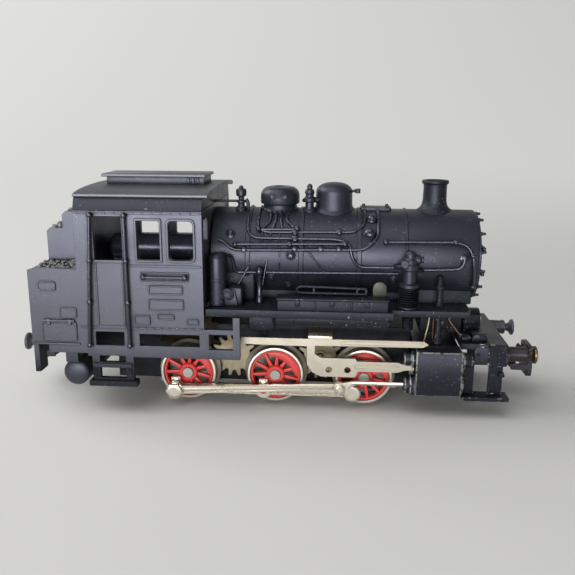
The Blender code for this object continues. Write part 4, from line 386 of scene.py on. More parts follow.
for axle, x in AXLES.items():
    body = "wheelset_" + axle
    for side_name, side in SIDES.items():
        end = f"{axle}_{side_name}"
        hub = (x, WHEEL_HEIGHT)
        piece("tyre_plated_" + end, [faced(tyre_profile, side, hub, 72, looped=True)], tyre_nickel, body,
              ["tyre_" + end])
        centre = [moved(s, x, 0, WHEEL_HEIGHT) for s in wheel_centre(side_name, side, axle == "middle")]
        piece("spoked_centre_" + end, centre, red_enamel, body, ["wheel_centre_" + end])
        piece("axle_end_" + end, [faced(axle_cap, side, hub, 32)], pressed_steel, body)

# The two idler gears between the axles show a turned face: a web between raised rings, and the hub about
# the stud they run on.
idler_face = [(0, 6.3), (0.62, 6.32), (0.68, 6.0), (1.05, 6.0), (1.15, 6.4), (1.55, 6.4), (1.62, 6.16),
              (2.0, 6.16), (2.08, 6.26), (2.4, 6.26), (2.48, 6.16), (3.0, 6.16), (3.1, 6.24), (3.5, 6.24),
              (3.55, 6.05), (0, 6.05)]
IDLERS = {"rear": (-9.55, 9.82), "front": (9.55, 9.82)}
for gear, spot in IDLERS.items():
    shells = [faced(idler_face, SIDES["right"], spot, 56)]
    piece("idler_face_" + gear, shells, plated_brass, "idler_gear_" + gear)

# Crank pins, coupling rods and main rods are plated steel pressings. The rods are milled out between their
# eyes, so a rim stands round a sunk web; the coupling rod has oil cups over its rear and middle pins.


def flank(side, inner, outer):
    """A range across one side of the engine, in rising order."""
    return sorted((side * inner, side * outer))


def framed(outline, width, axis, start, end, edge=0.08):
    """A rim of one width just inside a closed outline: a soft-cornered box section carried round it."""
    low, high = min(start, end), max(start, end)
    section = [(0, low + edge), (edge, low), (width - edge, low), (width, low + edge),
               (width, high - edge), (width - edge, high), (edge, high), (0, high - edge)]
    rings = [placed(axis, *inset(outline, d).T, np.full(len(outline), h)) for d, h in section]
    return woven(np.stack(rings), looped=True)


def arc(centre, radius, start, end, steps):
    """Points of a circle's arc between two angles in degrees."""
    t = np.radians(np.linspace(start, end, steps + 1))
    return np.stack([centre[0] + radius * np.cos(t), centre[1] + radius * np.sin(t)], 1)


def round_head(side, spot, radius, low, high, steps=32):
    """A turned pin head with a chamfer and a shallow dish in its face."""
    rise = high - low
    profile = [(0, low), (radius, low), (radius, low + 0.6 * rise), (0.86 * radius, low + 0.95 * rise),
               (0.7 * radius, high), (0.4 * radius, low + 0.97 * rise), (0, low + 0.94 * rise)]
    return faced(profile, side, spot, steps)


MAIN_LENGTH, MAIN_RISE = 35.58, 1.72
COUPLING_ROD, COUPLING_WEB = (10.8, 11.5), (10.85, 11.28)
MAIN_ROD, MAIN_WEB = (12.22, 12.92), (12.3, 12.68)
slope = math.asin(MAIN_RISE / MAIN_LENGTH)
pitch = AXLES["front"]
coupling_outline = np.concatenate([
    arc((pitch, 0), 1.8, -146, 146, 20), arc((0, 0), 1.8, 34, 56, 4), [(0.95, 2.5), (-0.95, 2.5)],
    arc((0, 0), 1.8, 124, 146, 4), arc((-pitch, 0), 1.8, 34, 56, 4),
    [(-pitch + 0.95, 2.5), (-pitch - 0.95, 2.5)],
    arc((-pitch, 0), 1.8, 124, 326, 16), arc((0, 0), 1.8, 214, 326, 10)])
main_outline = np.concatenate([arc((MAIN_LENGTH, 0), 1.3, -144, 144, 16), arc((0, 0), 1.9, 30, 330, 20)])
coupling_bush = [(0.82, 10.82), (1.55, 10.82), (1.6, 11.42), (1.45, 11.52), (0.82, 11.52)]
screw_shank = [(0, 8.6), (0.75, 8.6), (0.75, 11.56), (1.3, 11.58), (1.3, 12.14), (0.75, 12.16), (0.75, 13.0),
               (0, 13.0)]
turn = np.array([[math.cos(slope), math.sin(slope)], [-math.sin(slope), math.cos(slope)]])
for side_name, side in SIDES.items():
    angle = CRANK_TURN[side_name]
    pin = CRANK_THROW * np.array([math.cos(angle), math.sin(angle)]) + (0, WHEEL_HEIGHT)
    bar = coupling_outline + pin
    shells = [framed(bar, 0.42, "Y", *flank(side, *COUPLING_ROD)),
              slab(inset(bar, 0.3), "Y", *flank(side, *COUPLING_WEB), 0.05)]
    shells += [faced(coupling_bush, side, pin + (x, 0), 32, looped=True) for x in AXLES.values()]
    piece("coupling_rod_milled_" + side_name, shells, nickel, "coupling_rod_" + side_name,
          ["coupling_rod_" + side_name])
    rear = pin + (AXLES["rear"], 0)
    bar = main_outline @ turn + rear
    small = rear + (MAIN_LENGTH * math.cos(slope), MAIN_RISE)
    shells = [framed(bar, 0.5, "Y", *flank(side, *MAIN_ROD), 0.12),
              slab(inset(bar, 0.35), "Y", *flank(side, *MAIN_WEB), 0.05)]
    for spot, hole, radius in ((rear, 0.82, 1.8), (small, 0.66, 1.2)):
        eye = [(hole, 12.24), (radius, 12.24), (radius, 12.86), (radius - 0.15, 12.95), (hole, 12.95)]
        shells.append(faced(eye, side, spot, 32, looped=True))
    piece("main_rod_fluted_" + side_name, shells, nickel, "main_rod_" + side_name,
          ["main_rod_" + side_name])
    hexagon = arc(rear, 1.85, 0, 300, 5)
    shells = [faced(screw_shank, side, rear, 24),
              slab(hexagon, "Y", side * 12.98, side * 13.92, 0.16, 3),
              round_head(side, rear, 1.5, 13.7, 13.98)]
    piece("crank_screw_" + side_name, shells, nickel, "wheelset_rear",
          ["crank_screw_rear_" + side_name])
    front = pin + (AXLES["front"], 0)
    shells = [faced([(0, 8.6), (0.75, 8.6), (0.75, 11.7), (0, 11.7)], side, front, 24),
              round_head(side, front, 1.85, 11.56, 12.16, 40)]
    piece("crank_pin_" + side_name, shells, nickel, "wheelset_front",
          ["crank_pin_front_" + side_name])

# Each crosshead is a flat pressing with a big rivet, and its piston rod runs into the cylinder.
# The motion bracket beside it is bent from plated sheet: a long bar, a drilled plate and the slide bar.
dull_nickel = metal("dull_nickel_plate", "#aca596", "#cbc4b5", 0.28, 3.5, 0.14, 0.22, "#5d503d")
BRACKET_FACE = 13.8
ridges = (([(16.9, 10.0), (25.4, 10.0), (26.4, 10.6), (25.4, 11.2), (16.9, 11.2)], 0.5, 0.22, 0.1),
          ([(14.0, 15.2), (30.6, 15.2), (31.2, 15.7), (30.6, 16.15), (14.0, 16.15)], 0.4, 0.2, 0.08))
for side_name, side in SIDES.items():
    dressed("crosshead_" + side_name, nickel, 0.08)
    dressed("motion_bracket_" + side_name, dull_nickel, 0.1)
    shells = []
    for ridge, ease, width, rise in ridges:
        levels = flank(side, BRACKET_FACE - 0.1, BRACKET_FACE + rise)
        shells.append(framed(eased(ridge, ease), width, "Y", *levels, 0.05))
    piece("slide_bar_ridge_" + side_name, shells, dull_nickel)

# The cylinder block is one casting across the frame, sprayed semi-gloss black. It is the lowest corner of
# the body and gets handled, so bright zinc shows where paint has chipped off its edges.
# Colours for the painted shade low down and in corners, and a blue tint for the paint's reflections.
SHADE_LOW_DOWN, SHADE_IN_CORNERS, SKY = "#17181c", "#07080a", "#e3e8ff"


def cast_paint(name, dark, pale, rough, chips, dust, gloss=0.5, shade_below=0.0, bare="#cfccc4", specks="#a8a8a5",
               reach=0.12):
    """Sprayed paint on a zinc casting: a cloudy colour, painted shade in the corners, dust, and chips on
    sharp edges.

    An edge is where the normal averaged over reach mm departs from the face's own; chips sets how much of
    it is bare, dust how strongly specks of a few tenths show, and below a given height, in millimetres,
    the paint is painted darker and duller, as painted shade.
    """
    made, tree, shader, where = surface(name, IOR=1.5, Specular_Tint=linear(SKY))
    cloud = add(tree, "TexNoise", {"Vector": where, "Scale": per_mm(7.0), "Detail": 4.0})
    tone = add(tree, "Mix", {0: cloud.outputs["Fac"], 6: linear(dark), 7: linear(pale)}, data_type="RGBA")
    height = add(tree, "SeparateXYZ", {"Vector": where})
    # Painted shade low down: below the given height the colour is mixed towards a dark grey and the sheen is
    # cut, for the shade on the cab's steps and under the roof's eaves.
    low_shade = add(tree, "MapRange", {"Value": height.outputs["Z"], 1: shade_below * MM, 2: (shade_below - 5.0) * MM,
                                    3: 0.0, 4: 0.8})
    shaded_low_tone = add(tree, "Mix", {0: low_shade.outputs["Result"], 6: tone.outputs[2], 7: linear(SHADE_LOW_DOWN)},
                data_type="RGBA")
    # Painted shade in the corners: where ambient occlusion finds a hollow the colour is mixed towards near
    # black and the sheen is turned down.
    hollow = add(tree, "AmbientOcclusion", {"Distance": 1.4 * MM}, samples=6)
    corner = add(tree, "MapRange", {"Value": hollow.outputs["AO"], 1: 0.82, 2: 0.3, 3: 0.0, 4: 0.85})
    corner_shaded = add(tree, "Mix", {0: corner.outputs["Result"], 6: shaded_low_tone.outputs[2], 7: linear(SHADE_IN_CORNERS)},
                data_type="RGBA")
    shine = add(tree, "MapRange", {"Value": hollow.outputs["AO"], 1: 0.85, 2: 0.35, 3: gloss, 4: 0.1 * gloss})
    unshaded = add(tree, "Math", {0: 1.0, 1: low_shade.outputs["Result"]}, operation="SUBTRACT")
    sheen = add(tree, "Math", {0: shine.outputs["Result"], 1: unshaded.outputs[0]}, operation="MULTIPLY")
    tree.links.new(sheen.outputs[0], shader.inputs["Specular IOR Level"])
    grit = add(tree, "TexNoise", {"Vector": where, "Scale": per_mm(0.4), "Detail": 1.0})
    spread = add(tree, "TexNoise", {"Vector": where, "Scale": per_mm(5.0), "Detail": 2.0})
    shown = add(tree, "MapRange", {"Value": grit.outputs["Fac"], 1: 0.68, 2: 0.74, 3: 0.0, 4: dust})
    thick = add(tree, "MapRange", {"Value": spread.outputs["Fac"], 1: 0.42, 2: 0.62})
    settled = add(tree, "Math", {0: shown.outputs["Result"], 1: thick.outputs["Result"]},
                  operation="MULTIPLY")
    dusted = add(tree, "Mix", {0: settled.outputs[0], 6: corner_shaded.outputs[2], 7: linear(specks)},
                 data_type="RGBA")
    rounded = add(tree, "Bevel", {"Radius": reach * MM}, samples=4)
    face = add(tree, "NewGeometry")
    agree = add(tree, "VectorMath", {0: rounded.outputs["Normal"], 1: face.outputs["Normal"]},
                operation="DOT_PRODUCT")
    edge = add(tree, "MapRange", {"Value": agree.outputs["Value"], 1: 0.985, 2: 0.92})
    ragged = add(tree, "TexNoise", {"Vector": where, "Scale": per_mm(1.1), "Detail": 5.0, "Roughness": 0.65})
    flaked = add(tree, "MapRange", {"Value": ragged.outputs["Fac"], 1: 0.72 - 0.22 * chips,
                                    2: 0.76 - 0.22 * chips})
    chipped = add(tree, "Math", {0: edge.outputs["Result"], 1: flaked.outputs["Result"]},
                  operation="MULTIPLY")
    bared = add(tree, "Mix", {0: chipped.outputs[0], 6: dusted.outputs[2], 7: linear(bare)}, data_type="RGBA")
    tree.links.new(bared.outputs[2], shader.inputs["Base Color"])
    tree.links.new(chipped.outputs[0], shader.inputs["Metallic"])
    dull = add(tree, "MapRange", {"Value": cloud.outputs["Fac"], 1: 0.3, 2: 0.7, 3: rough - 0.06,
                                  4: rough + 0.08})
    tree.links.new(dull.outputs["Result"], shader.inputs["Roughness"])
    peel = add(tree, "TexNoise", {"Vector": where, "Scale": per_mm(0.3), "Detail": 3.0})
    raised = add(tree, "Bump", {"Height": peel.outputs["Fac"], "Strength": 0.55, "Distance": RELIEF,
                                "Normal": rounded.outputs["Normal"]})
    tree.links.new(raised.outputs["Normal"], shader.inputs["Normal"])
    return made


def rectangle(a, b):
    """The four corners of a rectangle, from its ranges along two axes."""
    return [(a[0], b[0]), (a[1], b[0]), (a[1], b[1]), (a[0], b[1])]


def box(x, y, z, edge):
    """A rounded block: its plan with eased corners carried up from z to z with eased edges."""
    plan = eased(rectangle(x, y), edge)
    return slab(plan, "Z", *z, edge)


chipped_black = cast_paint("chipped_black_paint", "#0e0f13", "#191b21", 0.38, 1.35, 0.35, 0.4,
                           bare="#e9e7e1", reach=0.4)
dressed("cylinder_block", chipped_black, 0.3)
CYLINDER_SPREAD = 13.47
covers = (([(0, 27.2), (1.2, 27.2), (1.55, 27.4), (1.75, 27.8), (1.75, 28.3), (2.15, 28.5), (2.15, 29.45),
            (0, 29.45)], 6.85),
          ([(0, 27.0), (1.0, 27.0), (1.3, 27.2), (1.42, 27.6), (1.42, 28.6), (1.75, 28.8), (1.75, 29.6),
            (0, 29.6)], 12.5),
          ([(0, 38.7), (1.75, 38.7), (1.75, 39.2), (1.42, 39.4), (1.42, 40.6), (1.2, 41.0), (0, 41.1)], 12.5),
          ([(0, 38.7), (2.3, 38.7), (2.3, 39.1), (2.1, 39.3), (0, 39.35)], 7.6))
for side_name, side in SIDES.items():
    shells = [turned(profile, "X", (side * CYLINDER_SPREAD, z), 40) for profile, z in covers]
    piece("cylinder_covers_" + side_name, shells, chipped_black)

# The front platform with its beam, steps and lamp housing is a second casting, in a duller black.
# A grain-of-wheat bulb sits in the housing; sockets beside it take the cover, and thin wires feed it.
platform_black = cast_paint("platform_black_paint", "#0e0f13", "#191b21", 0.38, 0.8, 0.35, 0.26,
                            bare="#dedcd5", reach=0.25)
dressed("front_platform", platform_black, 0.15)
LAMP = (0, 17.45)
housing = [(1.75, 40.8), (2.45, 40.8), (2.75, 41.1), (2.75, 44.3), (2.6, 44.55), (1.9, 44.6), (1.75, 44.4)]
rim = [(0.45, 44.3), (0.8, 44.3), (0.9, 44.5), (0.8, 44.65), (0.45, 44.55)]
shells = [turned(housing, "X", LAMP, 48, looped=True)]
for side in SIDES.values():
    shells += [box((41.4, 44.4), flank(side, 7.2, 10.8), (15.5, 17.1), 0.3),
               turned(rim, "X", (side * 9.0, 16.3), 20, looped=True),
               box((39.3, 41.3), flank(side, 7.8, 10.2), (15.5, 16.5), 0.2),
               box((48.3, 48.75), flank(side, 8.1, 11.9), (11.1, 14.9), 0.12)]
    shells += [round_head(side, (x, 13.4), 0.42, 11.8, 12.25, 12) for x in (42.6, 46.4)]
    shells.append(box((46.9, 48.0), flank(side, 12.0, 13.0), (8.8, 9.7), 0.12))
piece("platform_fittings", shells, platform_black)


def glass(name, tint, rough):
    """Milky moulded glass: about a third of the light passes through, and the rest is scattered back."""
    made, tree, shader, where = surface(name, Roughness=rough, IOR=1.5, Transmission_Weight=0.35)
    haze = add(tree, "TexNoise", {"Vector": where, "Scale": per_mm(1.5), "Detail": 2.0})
    tone = add(tree, "Mix", {0: haze.outputs["Fac"], 6: linear(tint), 7: linear("#f4f1e6")}, data_type="RGBA")
    tree.links.new(tone.outputs[2], shader.inputs["Base Color"])
    return made


lens_glass = glass("milky_lamp_glass", "#d9d6cb", 0.18)
bulb = [(0, 42.3), (1.4, 42.3), (1.72, 43.4), (1.72, 44.2), (1.5, 44.75), (0.9, 45.05), (0, 45.1)]
piece("lamp_lens", [turned(bulb, "X", LAMP, 40)], lens_glass, stands_for=["lamp_bulb"])


def swept(path, radius, bend=0.8, sides=10):
    """A round section carried along a line whose corners are eased: P + r (cos t S + sin t U).

    S is the path's direction crossed with a fixed skew vector that no path runs along, and U is S turned
    a quarter about the path.
    """
    line = eased(path, bend, 5, closed=False)
    line = line[np.concatenate([[True], np.linalg.norm(np.diff(line, axis=0), axis=1) > 1e-6])]
    ahead = np.gradient(line, axis=0)
    ahead /= np.linalg.norm(ahead, axis=1, keepdims=True)
    across = np.cross(ahead, (0.31, 0.82, 0.48))
    across /= np.linalg.norm(across, axis=1, keepdims=True)
    upward = np.cross(across, ahead)
    t = np.linspace(0, 2 * math.pi, sides, endpoint=False)
    ring = np.cos(t)[:, None] * across[:, None] + np.sin(t)[:, None] * upward[:, None]
    return woven(line[:, None] + radius * ring)


copper = metal("bare_copper_wire", "#5f4535", "#8c6a50", 0.3, 1.5, 0.2, 0.2, "#3a1d10")
shells = [swept([(32.6, -9.0, 21.6), (32.5, -9.0, 19.4), (31.6, -9.0, 14.6)], 0.28)]
piece("lamp_wire_brass", shells, plated_brass)
shells = [swept([(33.4, -9.2, 21.6), (33.42, -9.0, 19.7), (33.5, -9.0, 14.6)], 0.25),
          swept([(35.9, -7.9, 21.4), (37.1, -8.0, 19.0), (39.4, -8.0, 16.1)], 0.27)]
piece("lamp_wire_copper", shells, copper)
tip = [(0, 15.5), (0.42, 15.5), (0.5, 16.0), (0.36, 16.5), (0, 16.6)]
piece("lamp_wire_tip", [turned(tip, "Z", (39.5, -8.0), 16)], pressed_steel)

# Four turned buffers: a flanged sleeve, a shank and a domed head. The front one on the right has been rubbed
# down to its brass, and the other three keep a worn black.
rubbed_brass = cast_paint("rubbed_black_on_brass", "#1d1a19", "#322c2a", 0.36, 1.35, 0.2, 0.3,
                          bare="#a57a52", specks="#8a7a6a")
worn_head = metal("handled_brass", "#57483b", "#806e5c", 0.3, 1.6, 0.2, 0.25, "#2f241b")
worn_black = cast_paint("worn_black_on_steel", "#3a3a3d", "#504f52", 0.36, 1.0, 0.2, bare="#8d8a88")
rubbed_buffer = (rubbed_brass, worn_head, "worn_brass")
kept_buffer = (worn_black, worn_black, "black_paint")
BUFFER_SPREAD, BUFFER_HEIGHT = 10.0, 13.0
head = [(0, 53.5), (0.9, 53.5), (1.2, 53.95), (1.8, 54.25), (1.88, 54.45), (1.85, 54.72), (1.55, 54.88),
        (0.8, 54.97), (0, 55.0)]
for end_name, end, seat in (("front", 1, 48.6), ("rear", -1, 50.2)):
    sleeve = [(0, seat), (2.0, seat), (2.0, seat + 0.35), (1.62, seat + 0.5), (1.55, 52.0), (1.66, 52.2),
              (1.66, 52.7), (1.45, 52.85), (0.9, 52.9), (0.9, 53.7), (0, 53.7)]
    for side_name, side in SIDES.items():
        name = f"buffer_{end_name}_{side_name}"
        coat, tip, slot = rubbed_buffer if name == "buffer_front_right" else kept_buffer
        centre = (side * BUFFER_SPREAD, BUFFER_HEIGHT)
        shells = [turned([(r, end * x) for r, x in profile], "X", centre, 40) for profile in (sleeve, head)]
        piece(name + "_sleeve", shells[:1], coat)
        piece(name + "_head", shells[1:], tip, stands_for=[name])

# A swinging coupler at each end carries a bail that lifts on a pin. Both are pressed from steel and
# blackened, with a little bright metal on their edges.
blackened = cast_paint("blackened_steel", "#17171a", "#2a2927", 0.4, 0.7, 0.2, bare="#8d8a84")
for end_name in ("front", "rear"):
    dressed("coupler_" + end_name, blackened, 0.1)
    dressed("coupler_loop_" + end_name, blackened, 0.1)

# The boiler casting: a smooth barrel with raised bands, a smokebox at the front, the firebox at the back,
# and the saddle, running boards, toolboxes and tanks cast with it. The barrel is semi-gloss black, and the
# low parts are duller and dusty.
BOILER_RADIUS, BOILER_HEIGHT = 9.75, 32.2
BOILER_REAR, SMOKEBOX_FRONT = -13.65, 42.05
BOILER_AXIS = (0, BOILER_HEIGHT)
BOARD_TOP, BOARD_BOTTOM = 23.1, 21.75
dusty_black = cast_paint("dusty_black_paint", "#0f1014", "#191b20", 0.48, 0.4, 0.6, 0.35)
boiler_black = cast_paint("semi_gloss_black_paint", "#121419", "#1c1f26", 0.4, 0.3, 0.28, 0.6)


def banded(bands, low, high, radius):
    """A barrel's profile from low to high that steps out 0.2 mm over each band of a given width."""
    points = [(radius, low + 0.02)]
    for middle, width in bands:
        h = width / 2
        points += [(radius, middle - h), (radius + 0.2, middle - h + 0.08), (radius + 0.2, middle + h - 0.08),
                   (radius, middle + h)]
    return points + [(radius, high)]


bands = ((-5.9, 1.0), (5.3, 1.0), (17.4, 1.0), (27.2, 0.5))
profile = [(0, -9.0), (8.25, -9.0), (8.25, BOILER_REAR), (BOILER_RADIUS - 0.15, BOILER_REAR)]
profile += banded(bands, BOILER_REAR, SMOKEBOX_FRONT - 0.5, BOILER_RADIUS)
profile += [(9.68, 41.8), (9.5, 41.98), (9.2, SMOKEBOX_FRONT), (0, SMOKEBOX_FRONT)]
shells = [turned(profile, "X", BOILER_AXIS, 96)]
piece("boiler_barrel", shells, boiler_black, stands_for=["boiler_casting"], smooth=40.0)
shells = [box((-13.6, 40.6), (-6.4, 6.4), (22.2, 25.3), 0.4),
          box((31.0, 40.0), (-5.4, 5.4), (15.85, 22.6), 0.4),
          box((29.6, 40.2), (-7.2, 7.2), (19.6, 22.4), 0.6),
          box((-2.4, 2.8), (-3.2, 3.2), (17.0, 22.4), 0.3),
          box((-13.6, -4.4), (-9.25, 9.25), (22.6, 31.2), 0.5)]
t = np.radians(np.linspace(-50, 50, 25))
cradle = np.concatenate([np.stack([9.85 * np.sin(t), BOILER_HEIGHT - 9.85 * np.cos(t)], 1),
                         [(7.6, 23.0), (6.6, 22.7), (-6.6, 22.7), (-7.6, 23.0)]])
shells.append(slab(cradle, "X", 28.4, 41.2, 0.25))
piece("boiler_saddle", shells, dusty_black)
plan = [(-13.6, -17.0), (24.2, -17.0), (24.2, -14.4), (39.2, -14.4), (40.2, -12.6),
        (40.2, 12.6), (39.2, 14.4), (24.2, 14.4), (24.2, 17.0), (-13.6, 17.0)]
lip = rectangle((-13.6, 24.3), (-17.12, -16.6))
shells = [slab(plan, "Z", BOARD_BOTTOM, BOARD_TOP, 0.12)]
for side in SIDES.values():
    edge = [(x, -side * y) for x, y in lip]
    shells.append(slab(edge, "Z", BOARD_BOTTOM - 0.12, BOARD_TOP + 0.1, 0.08))
piece("running_boards", shells, dusty_black)


def sided(path, side):
    """A path that is drawn for the left, on either side."""
    return [(x, side * y, z) for x, y, z in path]


drum_end = [(0, 0.2), (0.9, 0.3), (1.5, 0.6), (1.75, 1.2)]
drum = drum_end + [(r, 24.2 - x) for r, x in reversed(drum_end)]
drain = [(-2.0, 12.2, 18.0), (-2.0, 12.0, 15.6), (-4.4, 9.4, 13.4)]
pipe = [(0, 14.9), (0.95, 14.9), (1.05, 15.2), (0.95, 15.6), (0.68, 15.9), (0.68, 21.0), (0.9, 21.3),
        (0.9, 23.5), (0.68, 23.8), (0.68, 26.6), (0.9, 26.8), (0.9, 27.3), (0.6, 27.6), (0, 27.7)]
elbow = [(34.2, 10.2, 27.3), (34.2, 9.9, 28.6), (34.2, 8.6, 29.6)]
for side_name, side in SIDES.items():
    shells = [box((1.0, 23.2), flank(side, 13.3, 16.85), (22.9, 25.45), 0.12),
              box((0.75, 23.45), flank(side, 13.1, 16.98), (25.3, 25.75), 0.1)]
    shells += [box((x, x + 0.9), flank(side, 16.7, 17.05), (24.2, 25.35), 0.1) for x in (4.6, 11.6, 18.6)]
    shells += [box((x, x + 0.35), flank(side, 16.6, 16.95), (23.0, 25.35), 0.06) for x in (8.4, 15.7)]
    middle = (side * 15.15, 21.25)
    shells.append(turned(drum, "X", middle, 32))
    straps = [rectangle((1.7, 1.84), (x, x + 0.7)) for x in (3.6, 11.7, 19.6)]
    shells += [turned(strap, "X", middle, 32, looped=True) for strap in straps]
    shells += [box((-5.6, 0.2), flank(side, 10.6, 13.6), (17.7, 22.0), 0.7), swept(sided(drain, side), 0.32),
               turned(pipe, "Z", (34.2, side * 10.2), 24), swept(sided(elbow, side), 0.6)]
    piece("board_boxes_" + side_name, shells, dusty_black)

# The smokebox door is a shallow dish with two strap hinges and a handle, held by dogs round its rim.
# It closes the front of the barrel and has the same paint.
door = [(0, 42.2), (8.55, 42.2), (8.6, 42.35), (8.35, 42.6), (7.9, 42.7), (6.4, 42.95), (4.0, 43.2),
        (1.4, 43.32), (1.2, 43.6), (0.8, 43.75), (0, 43.8)]
ring = [(8.75, 41.9), (9.35, 41.9), (9.4, 42.2), (9.2, 42.4), (8.75, 42.4)]
shells = [turned(door, "X", BOILER_AXIS, 72), turned(ring, "X", BOILER_AXIS, 72, looped=True)]
dog = [(0, 41.6), (0.42, 41.6), (0.42, 42.7), (0.3, 42.75), (0.3, 43.25), (0.2, 43.4), (0, 43.4)]
DOGS = 14
for k in range(DOGS):
    a = math.radians(12 + 360 * k / DOGS)
    spot = (8.95 * math.cos(a), BOILER_HEIGHT + 8.95 * math.sin(a))
    shells.append(turned(dog, "X", spot, 12))
for z in (29.6, 34.8):
    hinge = eased([(-8.4, z - 0.45), (3.4, z - 0.3), (4.0, z), (3.4, z + 0.3), (-8.4, z + 0.45)], 0.3)
    shells.append(slab(hinge, "X", 42.75, 43.35, 0.1))
for a in (0.5, 2.1):
    reach = 2.3 * np.array([math.cos(a), math.sin(a)])
    shells.append(swept([(43.65, 0, BOILER_HEIGHT), (43.75, reach[0], BOILER_HEIGHT + reach[1])], 0.2))
piece("smokebox_front", shells, boiler_black, stands_for=["smokebox_door"])

# Chimney, domes, valve and whistle are turned to a profile and seated on the barrel: each foot follows the
# round of the boiler. The body screw's head shows in the well of the sand dome.


def skin(y):
    """The height of the barrel's top at a distance y from the middle: the centre plus sqrt(R^2 - y^2)."""
    return BOILER_HEIGHT + np.sqrt(np.maximum(BOILER_RADIUS ** 2 - y ** 2, 0.0))


def perched(foot, above, x, y=0.0, steps=56):
    """A turned shape on the barrel: its foot's heights count from the skin, those above it from the table."""
    radius, height = np.array(foot + above, float).T[:, :, None]
    t = np.linspace(0, 2 * math.pi, steps, endpoint=False)
    across = y + radius * np.sin(t)
    seat = np.where(np.arange(len(radius))[:, None] < len(foot), skin(across), 0.0)
    return woven(placed("Z", x + radius * np.cos(t), across, seat + height))


chimney_black = cast_paint("chimney_paint", "#0f1014", "#191b20", 0.46, 0.3, 0.25, 0.36)
foot = [(3.6, -0.5), (3.7, 0.05), (3.45, 0.22), (3.0, 0.6), (2.68, 1.2)]
stack = [(2.52, 44.0), (2.46, 46.6), (2.5, 47.35), (2.78, 47.55), (2.85, 47.75), (2.85, 48.05), (2.72, 48.25),
         (2.3, 48.25), (2.15, 48.1), (2.1, 44.5), (0, 44.4)]
piece("chimney_turned", [perched(foot, stack, 33.5)], chimney_black, stands_for=["chimney"], smooth=40.0)
foot = [(4.35, -0.5), (4.45, 0.05), (4.3, 0.2), (4.05, 0.45), (3.95, 0.9)]
rise = np.linspace(0, math.pi / 2, 12)[:-1]
crown = [(3.93 * math.cos(a) ** 0.8, 45.5 + 2.1 * math.sin(a)) for a in rise]
shells = [perched(foot, [(3.93, 44.6)] + crown + [(0, 47.62)], 11.95),
          swept([(15.4, -0.6, 45.7), (16.9, -0.9, 45.9)], 0.3),
          turned([(0, 45.35), (0.55, 45.35), (0.55, 46.3), (0, 46.3)], "Z", (17.0, -0.9), 12)]
piece("steam_dome_turned", shells, boiler_black, stands_for=["steam_dome"], smooth=40.0)
foot = [(3.9, -0.5), (3.95, 0.05), (3.7, 0.3), (3.55, 0.8)]
sand = [(3.55, 42.75), (4.12, 42.95), (4.24, 43.2), (4.24, 44.7), (4.12, 45.3), (3.75, 45.95), (3.1, 46.4),
        (2.3, 46.6), (1.45, 46.6), (1.25, 46.4), (1.22, 44.6), (0, 44.6)]
handle = [(-1.2, -4.0, 44.75), (-1.1, -4.6, 44.7), (1.5, -4.6, 44.7), (1.6, -4.0, 44.75)]
boss = [(0, -4.75), (0.42, -4.75), (0.42, -4.3), (0, -4.3)]
shells = [perched(foot, sand, 0.2), swept(handle, 0.22, 0.3)]
shells += [turned(boss, "Y", (x, 44.7), 14) for x in (-1.1, 1.5)]
piece("sand_dome_turned", shells, boiler_black, stands_for=["sand_dome"], smooth=40.0)
head = [(0, 43.2), (1.12, 43.2), (1.12, 44.95), (0.9, 45.25), (0.4, 45.3), (0, 45.3)]
shank = [(0, 12.2), (0.5, 12.2), (0.7, 12.6), (0.7, 43.3), (0, 43.3)]
shells = [turned(head, "Z", (0.2, 0.0), 32), turned(shank, "Z", (0.2, 0.0), 24)]
piece("body_screw_steel", shells, pressed_steel, stands_for=["body_screw"])
valve = [(0.9, 43.4), (1.25, 43.6), (1.3, 44.3), (0.95, 44.55), (0.85, 45.1), (1.05, 45.4), (0.95, 46.0),
         (0.55, 46.3), (0.62, 46.8), (0.4, 47.25), (0, 47.4)]
whistle = [(0.7, 43.0), (0.95, 43.2), (0.95, 43.6), (0.6, 43.8), (0.62, 44.4), (1.1, 44.7), (1.15, 45.7),
           (1.0, 46.1), (0.5, 46.25), (0.42, 46.7), (0, 46.9)]
shells = [perched([(1.45, -0.4), (1.5, 0.3), (0.95, 0.6)], valve, 6.7, -2.0, 32),
          perched([(1.2, -0.4), (1.25, 0.4), (0.75, 0.7)], whistle, -8.1, -2.0, 32),
          swept([(6.4, -2.0, 43.95), (8.6, -1.6, 43.9)], 0.62),
          swept([(6.5, -2.0, 43.6), (5.3, -2.6, 43.9)], 0.4),
          swept([(-14.2, -2.0, 43.5), (-7.0, -2.0, 43.5)], 0.28),
          swept([(-7.1, -2.0, 43.9), (-6.6, -2.0, 43.2), (-6.6, -2.2, 42.0)], 0.4)]
piece("valve_and_whistle", shells, boiler_black, smooth=40.0)

# Pipes, handrails, plugs and clack valves stand in relief along both sides of the boiler.
# They were cast in one with it, so they have its paint, which handling has rubbed smoother.


def on_boiler(x, angle, lift, side):
    """A point beside the barrel: x along it, an angle in degrees above its widest line, lift off the skin."""
    a, r = math.radians(angle), BOILER_RADIUS + lift
    return (x, side * r * math.cos(a), BOILER_HEIGHT + r * math.sin(a))


def wrapped(route, lift, side, loose=(), bend=1.6):
    """A pipe's line: (x, angle) corners eased on the unrolled skin and wrapped on it, then loose points."""
    around = math.radians(1.0) * BOILER_RADIUS
    flat = eased(np.array(route, float) * (1.0, around), bend, 6, closed=False)
    t = np.linspace(0, 1, 4)[:-1, None]
    line = np.concatenate([a + t * (b - a) for a, b in zip(flat[:-1], flat[1:])] + [flat[-1:]])
    return [on_boiler(x, s / around, lift, side) for x, s in line] + sided(loose, side)


